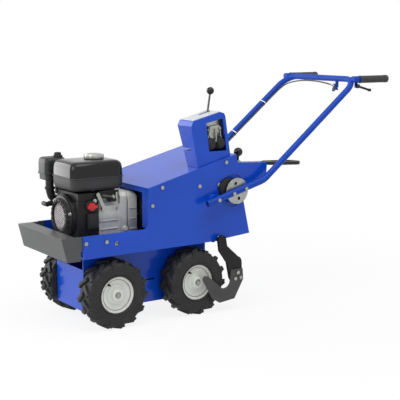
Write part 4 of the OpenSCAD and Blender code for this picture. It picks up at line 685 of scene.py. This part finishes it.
# Engine block: a pressure-cast aluminium crankcase with cooling ribs and a bolted cover on its drive side.
# The cover is a square casting with a groove and a turned hub, and carries the oil plug and a belt guard.
CRANK_HEIGHT = 411.0
CASE_FRONT = -198.0
CASE_REAR = -100.0
CASE_NEAR = -84.0
CASE_RIBS = (330, 362, 394)
COVER_WEBS = (352, 392, 432)
FLANGE_OUTLINE = [(-86, 322), (-74, 309), (66, 309), (78, 322), (78, 484), (64, 497), (-70, 497), (-86, 482)]
COVER_OUTLINE = [(-84, 346), (-76, 330), (-60, 322), (52, 322), (68, 330), (76, 346), (76, 470), (66, 486),
                 (50, 494), (-56, 494), (-74, 486), (-84, 468)]
HUB_PROFILE = [(28, 13.2), (28, 72), (38, 72), (38, 62), (74, 62), (77, 58), (78, 52.6), (81, 52), (83, 50),
               (84, 46.5), (84, 13.2)]
COVER_BOLTS = [(-72, 346), (-76, 405), (-70, 474), (-8, 486), (58, 478), (68, 405), (62, 340)]
GUARD_PROFILE = [(0, 53), (0, 60), (10, 66), (15, 84), (19, 91), (25, 92), (25, 90), (20, 88), (16, 80),
                 (12, 62), (8, 53)]

cast_aluminium = surface("cast_aluminium", (0.66, 0.66, 0.62), (0.54, 0.54, 0.51), 34.0, 650.0, 0.4, 0.6,
                         0.5, metallic=0.25, worn_tone=(0.75, 0.75, 0.74), worn=0.4)
dress(cast_aluminium, "crankcase", "cylinder_head", edge=0.002)


def rectangle(left, right, low, high):
    """The outline of an upright rectangle."""
    return [(left, low), (right, low), (right, high), (left, high)]


rib_mesh = bmesh.new()
for rib_z in CASE_RIBS:
    rib_outline = rectangle(CASE_FRONT + 10, CASE_REAR - 6, rib_z - 2, rib_z + 2)
    add_prism(rib_mesh, rib_outline, CASE_NEAR + 2, CASE_NEAR - 4, flat_upright)
post_outline = rectangle(CASE_REAR - 9, CASE_REAR - 1, 300, 452)
add_prism(rib_mesh, post_outline, CASE_NEAR + 2, CASE_NEAR - 5, flat_upright)
make_piece("crankcase_ribs", rib_mesh, cast_aluminium, "chassis", edge=0.0012)


def flat_across(u, v, w):
    """Puts an outline drawn in Y and Z in the frame, with its thickness along X."""
    return at(w, u, v)


cover_mesh = bmesh.new()
add_prism(cover_mesh, FLANGE_OUTLINE, CASE_REAR, CASE_REAR + 30, flat_across)
add_prism(cover_mesh, COVER_OUTLINE, CASE_REAR + 36, CASE_REAR + 76, flat_across)
add_lathe(cover_mesh, HUB_PROFILE, at(CASE_REAR, 0, CRANK_HEIGHT), (1, 0, 0), 72)
for web_z in COVER_WEBS:
    web_outline = rectangle(CASE_REAR + 42, CASE_REAR + 70, web_z - 2, web_z + 2)
    add_prism(cover_mesh, web_outline, CASE_NEAR + 2, CASE_NEAR - 4, flat_upright)
pto_cover = make_piece("drive_side_cover", cover_mesh, cast_aluminium, "chassis", edge=0.0025)
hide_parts("side_cover")

FLANGE_BOLT = [(0, 0), (0, 7.6), (1.2, 7.8), (2.0, 6.0)]
HEX_HEAD = [(1.6, 0), (1.6, 5.8), (6.4, 5.8), (7.4, 4.9), (7.4, 0)]


def add_flange_bolt(mesh, seat, axis):
    """A small hexagon bolt with its washer face, standing on a seat."""
    add_lathe(mesh, [*FLANGE_BOLT, (2.0, 0)], seat, axis, 28)
    add_lathe(mesh, HEX_HEAD, seat, axis, 6)


engine_bolt_mesh = bmesh.new()
for bolt_y, bolt_z in COVER_BOLTS:
    add_flange_bolt(engine_bolt_mesh, at(CASE_REAR + 76, bolt_y, bolt_z), (1, 0, 0))
for bolt_x, bolt_z in ((-190, 440), (-154, 316), (-112, 440)):
    add_flange_bolt(engine_bolt_mesh, at(bolt_x, CASE_NEAR, bolt_z), (0, -1, 0))
make_piece("engine_cover_bolts", engine_bolt_mesh, zinc, "chassis")

guard_mesh = bmesh.new()
add_lathe(guard_mesh, GUARD_PROFILE, at(-24, 0, CRANK_HEIGHT), (1, 0, 0), 80)
make_piece("belt_guard", guard_mesh, black_paint, "chassis", edge=0.0006)

PLUG_PROFILE = [(0, 0), (0, 15), (3, 15.5), (5, 14), (6, 11.2), (14, 11), (16, 9.8), (17, 7), (17, 0)]
plug_mesh = bmesh.new()
add_lathe(plug_mesh, PLUG_PROFILE, at(-80, -76, 353), (0.12, -1, 0.18), 40)
pale_plastic = surface("pale_plug_plastic", (0.6, 0.6, 0.56), (0.52, 0.52, 0.48), 50.0, 1200.0, 0.4, 0.55, 0.1)
make_piece("oil_plug", plug_mesh, pale_plastic, "chassis")

# Fan cover and starter: a black pressed-steel housing, with a round louvred starter cover bolted to its front.
# The starter's middle is a bright pressed screen, and its pull grip hangs at the far side.
FAN_FRONT = -300.0
STARTER_PROFILE = [
    (0, 30), (0, 81.5), (1, 82), (4, 82), (5, 81), (6, 73), (7.5, 71), (15, 68), (17.5, 66), (18, 63.5),
    (18, 55.5), (16.5, 54.5), (6, 53.5), (5, 52), (5, 30),
]
STARTER_BOLTS = [(45, 77), (165, 77), (285, 77)]
VANE_COUNT = 20
VANE_OUTLINE = [(6, 55), (21, 55), (21.5, 58), (19, 66), (12, 71.5), (6, 72)]
VANE_HALF = 2.4
SCREEN_RADIUS = 53.0
SCREEN_PROFILE = [(4, 0), (4, SCREEN_RADIUS), (10, SCREEN_RADIUS), (11, SCREEN_RADIUS - 1),
                  (11, SCREEN_RADIUS - 5), (8, SCREEN_RADIUS - 6), (8, 0)]
BAR_GAP = 8.5
FAN_NEAR = -98.0
dress(black_paint, "fan_cover", edge=0.003)
starter_mesh = bmesh.new()
starter_middle = at(FAN_FRONT, 0, CRANK_HEIGHT)
add_lathe(starter_mesh, STARTER_PROFILE, starter_middle, (-1, 0, 0), 80)
for vane in range(VANE_COUNT):
    turn = math.tau * vane / VANE_COUNT
    out = Vector((0, math.cos(turn), math.sin(turn)))
    across = Vector((0, -math.sin(turn), math.cos(turn)))

    def on_starter(u, v, w, out=out, across=across):
        """A place on a vane of the starter cover: u forwards, v outwards and w across, leaning as it rises."""
        return starter_middle + Vector((-u / 1000, 0, 0)) + (out * v + across * (w + 0.5 * (u - 8))) / 1000

    add_prism(starter_mesh, VANE_OUTLINE, -VANE_HALF, VANE_HALF, on_starter)
starter_cover = make_piece("starter_louvres", starter_mesh, black_paint, "chassis", edge=0.0006)
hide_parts("recoil_cover")

screen_mesh = bmesh.new()
add_lathe(screen_mesh, SCREEN_PROFILE, starter_middle, (-1, 0, 0), 64)
for lean, width, height in ((math.radians(16), 3.0, 14.0), (math.radians(106), 1.6, 12.5)):
    along = Vector((0, math.cos(lean), math.sin(lean)))
    across = Vector((0, -math.sin(lean), math.cos(lean)))
    for row in range(-5, 6):
        away = row * BAR_GAP
        half = math.sqrt(max((SCREEN_RADIUS - 4) ** 2 - (abs(away) + width) ** 2, 0))

        def on_screen(u, v, w, along=along, across=across, away=away):
            """A place on a bar of the screen: u along the bar, v forwards and w across the bar."""
            return starter_middle + Vector((-v / 1000, 0, 0)) + (along * u + across * (away + w)) / 1000

        if half > 6:
            bar_outline = [(-half, 7), (half, 7), (half - 3, height), (3 - half, height)]
            add_prism(screen_mesh, bar_outline, -width, width, on_screen)
screen_metal = surface("bright_screen", (0.36, 0.33, 0.34), (0.27, 0.25, 0.26), 60.0, 700.0, 0.4, 0.55, 0.2,
                       metallic=0.4)
make_piece("starter_screen", screen_mesh, screen_metal, "chassis", edge=0.0005)
starter_bolt_mesh = bmesh.new()
for angle, radius in STARTER_BOLTS:
    turn = math.radians(angle)
    seat = starter_middle + Vector((-4, radius * math.cos(turn), radius * math.sin(turn))) / 1000
    add_flange_bolt(starter_bolt_mesh, seat, (-1, 0, 0))
for bolt_x, bolt_z in ((-214, 320), (-272, 320), (-214, 476)):
    add_flange_bolt(starter_bolt_mesh, at(bolt_x, FAN_NEAR, bolt_z), (0, -1, 0))
make_piece("starter_bolts", starter_bolt_mesh, zinc, "chassis")
dress(black_plastic, "recoil_grip", edge=0.0015)

# Engine switch: a red moulded knob in a black bezel on the fan cover's near side, above a plain black box.
# The bezel and the box are moulded in one piece and screwed to the cover.
BEZEL_PROFILE = [(0, 16), (0, 21), (3, 22), (7, 20), (8, 18), (8, 16)]
SWITCH_BOX = [(-250, 372), (-206, 372), (-206, 426), (-212, 432), (-244, 432), (-250, 426)]
red_plastic = surface("red_plastic", (0.62, 0.012, 0.02), (0.54, 0.01, 0.016), 30.0, 900.0, 0.22, 0.36, 0.05)
dress(red_plastic, "engine_switch", edge=0.003)
bezel_mesh = bmesh.new()
add_lathe(bezel_mesh, BEZEL_PROFILE, at(-232, FAN_NEAR, 457), (0, -1, 0), 40)
add_prism(bezel_mesh, SWITCH_BOX, FAN_NEAR + 1, FAN_NEAR - 14, flat_upright)
add_prism(bezel_mesh, rectangle(-245, -211, 377, 420), FAN_NEAR - 13, FAN_NEAR - 16, flat_upright)
make_piece("switch_box", bezel_mesh, black_plastic, "chassis", edge=0.0012)

# Fuel tank: two pressed steel shells seamed together, painted gloss black, on brackets above the crankcase.
# The upper shell is glossy, the lower one is duller, and a flat flange runs round the seam between them.
TANK_LOW = Vector((-306.0, -102.0, 513.0))
TANK_HIGH = Vector((-84.0, 86.0, 625.0))
TANK_CORNER = 30.0
TANK_SEAM = 50.0
LOWER_LAYERS = [(0, 40), (0, 22), (1.5, 13), (6, 6), (14, 2.2), (26, 0.6), (TANK_SEAM, 0.4)]
UPPER_LAYERS = [(TANK_SEAM, 0.4), (64, 0.6), (82, 1.4), (94, 3.4), (101, 7), (106, 12), (109.5, 20),
                (111, 32), (111.6, 56)]
SEAM_LAYERS = [(TANK_SEAM - 2, 0.6), (TANK_SEAM - 2, -2.6), (TANK_SEAM - 1.4, -3.2), (TANK_SEAM + 1.4, -3.2),
               (TANK_SEAM + 2, -2.6), (TANK_SEAM + 2, 0.6)]
TANK_BRACKET = [(-60, 490), (-50, 490), (-46, 509), (-30, 509), (-30, 514), (-60, 514)]


def add_shell(mesh, layers, low, high, corner, steps=7):
    """Stacks rounded rectangles, given as (height, inset), into a closed shell."""
    rows = []
    for height, inset in layers:
        radius = max(corner - 0.6 * inset, 8)
        row = []
        for sx, sy, first in ((1, 1, 0), (-1, 1, 90), (-1, -1, 180), (1, -1, 270)):
            middle_x = (high.x - inset - radius) if sx > 0 else (low.x + inset + radius)
            middle_y = (high.y - inset - radius) if sy > 0 else (low.y + inset + radius)
            for k in range(steps + 1):
                turn = math.radians(first + 90 * k / steps)
                row.append(mesh.verts.new(at(middle_x + radius * math.cos(turn),
                                             middle_y + radius * math.sin(turn), low.z + height)))
        rows.append(row)
    count = len(rows[0])
    for here, there in zip(rows, rows[1:]):
        for k in range(count):
            mesh.faces.new((here[k], here[(k + 1) % count], there[(k + 1) % count], there[k]))
    mesh.faces.new(reversed(rows[0]))
    mesh.faces.new(rows[-1])


tank_gloss = surface("gloss_black_tank_paint", (0.006, 0.006, 0.007), (0.009, 0.009, 0.01), 9.0, 900.0,
                     0.08, 0.13, 0.02, specular=0.3)
tank_dull = surface("dull_tank_paint", (0.026, 0.026, 0.027), (0.034, 0.034, 0.035), 14.0, 900.0, 0.42,
                    0.54, 0.15, specular=0.4)
upper_mesh = bmesh.new()
add_shell(upper_mesh, UPPER_LAYERS, TANK_LOW, TANK_HIGH, TANK_CORNER)
upper_shell = make_piece("fuel_tank_upper_shell", upper_mesh, tank_gloss, "chassis", sharp=50.0)
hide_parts("fuel_tank")
lower_mesh = bmesh.new()
add_shell(lower_mesh, LOWER_LAYERS, TANK_LOW, TANK_HIGH, TANK_CORNER)
add_shell(lower_mesh, SEAM_LAYERS, TANK_LOW, TANK_HIGH, TANK_CORNER)
make_piece("fuel_tank_lower_shell", lower_mesh, tank_dull, "chassis", sharp=50.0)
bracket_mesh = bmesh.new()
for bracket_x in (CASE_FRONT + 16, CASE_REAR - 16):
    add_prism(bracket_mesh, TANK_BRACKET, bracket_x - 9, bracket_x + 9, flat_across)
make_piece("tank_brackets", bracket_mesh, black_paint, "chassis", edge=0.001)

# Fuel cap: a bright metal cap with a knurled rim and a stepped top.
# It is pressed from sheet and screwed on the tank's neck.
CAP_PLACE = (-170.58, -12.0, 625.5)
CAP_TOP = [(9, 0), (9, 30), (15.6, 31.5), (17.6, 30.6), (18.6, 27), (18.6, 21), (19.6, 19.5), (20.4, 14),
           (20.6, 0)]
CAP_RIBS = 28
CAP_RIB_OUT = 33.5
cap_metal = surface("bright_cap_metal", (0.5, 0.5, 0.48), (0.4, 0.4, 0.38), 50.0, 700.0, 0.2, 0.36, 0.1,
                    metallic=0.9)
dress(cap_metal, "fuel_cap", edge=0.0012)
cap_mesh = bmesh.new()
add_lathe(cap_mesh, CAP_TOP, at(*CAP_PLACE), (0, 0, 1), 56)
for grip_rib in range(CAP_RIBS):
    turn = math.tau * grip_rib / CAP_RIBS
    out = Vector((math.cos(turn), math.sin(turn), 0))
    foot = at(*CAP_PLACE) + out * CAP_RIB_OUT / 1000 + Vector((0, 0, 0.004))
    add_rod(cap_mesh, foot, foot + Vector((0, 0, 0.0115)), 2.1, 8)
make_piece("fuel_cap_top", cap_mesh, cap_metal, "fuel_cap", sharp=45.0)

# Air cleaner: a moulded charcoal box with a parting lip, held down by a stepped black knob.
# It stands on a black elbow above the silver carburettor, with a clamped rubber bend beside the starter.
AIR_LOW = Vector((-317.0, 104.0, 535.0))
AIR_HIGH = Vector((-221.0, 190.0, 623.0))
AIR_LAYERS = [(0, 12), (0, 8), (2, 5.5), (20, 5), (22, 5), (22.4, 1), (23.4, 0.2), (28.6, 0.2), (29.6, 1),
              (30, 2.2), (66, 2.8), (78, 4.5), (84, 8), (87, 14), (88, 24)]
air_plastic = surface("charcoal_filter_plastic", (0.027, 0.029, 0.028), (0.02, 0.022, 0.021), 20.0, 900.0,
                      0.36, 0.5, 0.25, specular=0.3)
air_mesh = bmesh.new()
add_shell(air_mesh, AIR_LAYERS, AIR_LOW, AIR_HIGH, 18.0)
for rib in range(4):
    rib_x = AIR_LOW.x + 24 + rib * 16
    add_prism(air_mesh, rectangle(rib_x, rib_x + 5, 570, 612), AIR_LOW.y + 8, AIR_LOW.y + 1.2, flat_upright)
air_box = make_piece("air_cleaner_box", air_mesh, air_plastic, "chassis", edge=0.0006,
                     sharp=45.0)
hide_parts("air_cleaner")
KNOB_PROFILE = [(-3, 0), (-3, 17), (0, 19), (4, 19), (6, 17), (7, 13), (9, 12), (14, 12.5), (16, 11.5),
                (17.5, 8), (18, 0)]
KNOB_WINGS = 6
knob_mesh = bmesh.new()
knob_place = at(AIR_LOW.x + 66, AIR_LOW.y + 30, AIR_HIGH.z)
add_lathe(knob_mesh, KNOB_PROFILE, knob_place, (0, 0, 1), 40)
for wing in range(KNOB_WINGS):
    turn = math.tau * wing / KNOB_WINGS
    foot = knob_place + Vector((math.cos(turn), math.sin(turn), 0)) * 0.012 + Vector((0, 0, 0.004))
    add_rod(knob_mesh, foot, foot + Vector((0, 0, 0.012)), 2.6, 12)
make_piece("air_cleaner_knob", knob_mesh, black_plastic, "chassis", sharp=45.0)
CARB_PLACE = (-244.0, 122.0, 459.0)
ELBOW_PROFILE = [(24, 20), (24, 27), (30, 27.5), (34, 25), (60, 24.5), (64, 27), (70, 30), (77, 31), (77, 20)]
BEND_ROUTE = [(-292, 126, 538), (-293, 124, 514), (-293, 121, 492), (-289, 118, 474), (-280, 117, 462),
              (-266, 118, 457)]
BEND_RADIUS = 16.0
BEND_CLAMP = [(0, 16.5), (0, 19), (1, 20), (9, 20), (10, 19), (10, 16.5)]
elbow_mesh = bmesh.new()
add_lathe(elbow_mesh, ELBOW_PROFILE, at(*CARB_PLACE), (0, 0, 1), 48)
add_wire(elbow_mesh, [at(*place) for place in BEND_ROUTE], BEND_RADIUS / 1000, 24)
add_lathe(elbow_mesh, BEND_CLAMP, at(-293, 123, 500), (0, 0, 1), 32)
make_piece("intake_elbow", elbow_mesh, soft_black, "chassis", edge=0.0008, sharp=40.0)

# Carburettor: a small silver casting with a round float bowl, bowl nut, adjusting screws and choke lever.
# It is bolted between the air cleaner's elbow and the cylinder, and its link rod runs towards the governor.
BOWL_LIP = [(0, 0), (0, 22.6), (2, 23.4), (5, 23.4), (6, 22.2), (6, 0)]
dress(cast_aluminium, "carburettor", edge=0.0015)
dress(black_plastic, "choke_lever", edge=0.0012)
carb_mesh = bmesh.new()
add_lathe(carb_mesh, BOWL_LIP, at(*CARB_PLACE) - Vector((0, 0, 0.015)), (0, 0, 1), 40)
add_flange_bolt(carb_mesh, at(*CARB_PLACE) - Vector((0, 0, 0.044)), (0, 0, -1))
for screw_x in (-262, -228):
    add_flange_bolt(carb_mesh, at(screw_x, 100, 470), (0, -1, 0))
add_rod(carb_mesh, at(-268, 100, 476), at(-214, 96, 486), 2.4)
add_rod(carb_mesh, at(-214, 96, 486), at(-206, 40, 500), 2.4)
make_piece("carburettor_fittings", carb_mesh, zinc, "chassis")

# Governor: a zinc-plated arm on the crankcase's near side, with a return spring to a small bracket.
# The bracket is a black pressed plate below the tank, bolted to the case. It is drawn wider than a bracket
# needs, as painted shade: its black stands for the tank's shadow on the case.
# Painted shade: this black plate covers the case's upper part where the tank's shadow falls, so its black
# stands in for that shadow.
BRACKET_SHADE_PLATE = [(-192, 484), (-162, 480), (-156, 466), (-118, 466), (-112, 474), (-108, 510), (-192, 510)]
dress(zinc, "governor_arm", edge=0.0008)
bracket_shade_mesh = bmesh.new()
add_prism(bracket_shade_mesh, BRACKET_SHADE_PLATE, -88, -92, flat_upright)
add_prism(bracket_shade_mesh, rectangle(-148, -124, 470, 476), -91, -104, flat_upright)
make_piece("throttle_bracket_shade_plate", bracket_shade_mesh, black_paint, "chassis", edge=0.0006)
spring_mesh = bmesh.new()
add_wire(spring_mesh, coil_points(at(-186, -99, 494), at(-132, -96, 484), 0.004, 12, 120), 0.0008)
add_flange_bolt(spring_mesh, at(-132, -92, 484), (0, -1, 0))
add_rod(spring_mesh, at(-120, -96, 462), at(-120, -96, 502), 4.5)
make_piece("governor_spring", spring_mesh, zinc, "chassis")

# Muffler: a rounded steel can painted heat-proof black, on the engine's far side.
# A guard of round bars is welded to three posts in front of its outer face.
MUFFLER_LOW = Vector((-170.0, 94.0, 521.0))
MUFFLER_HIGH = Vector((-58.0, 186.0, 605.0))
heat_paint = surface("heat_proof_paint", (0.035, 0.033, 0.032), (0.06, 0.052, 0.046), 22.0, 500.0, 0.5, 0.7,
                     0.4)
dress(heat_paint, "muffler", edge=0.002)
guard_bars = bmesh.new()
for row in range(6):
    bar_z = MUFFLER_LOW.z + 8 + row * 14
    add_rod(guard_bars, at(MUFFLER_LOW.x - 4, MUFFLER_HIGH.y + 5, bar_z),
            at(MUFFLER_HIGH.x + 4, MUFFLER_HIGH.y + 5, bar_z), 2.2, 12)
for post_x in (MUFFLER_LOW.x + 6, (MUFFLER_LOW.x + MUFFLER_HIGH.x) / 2, MUFFLER_HIGH.x - 6):
    add_rod(guard_bars, at(post_x, MUFFLER_HIGH.y + 2.4, MUFFLER_LOW.z + 2),
            at(post_x, MUFFLER_HIGH.y + 2.4, MUFFLER_HIGH.z - 2), 2.6, 12)
make_piece("muffler_guard", guard_bars, heat_paint, "chassis")
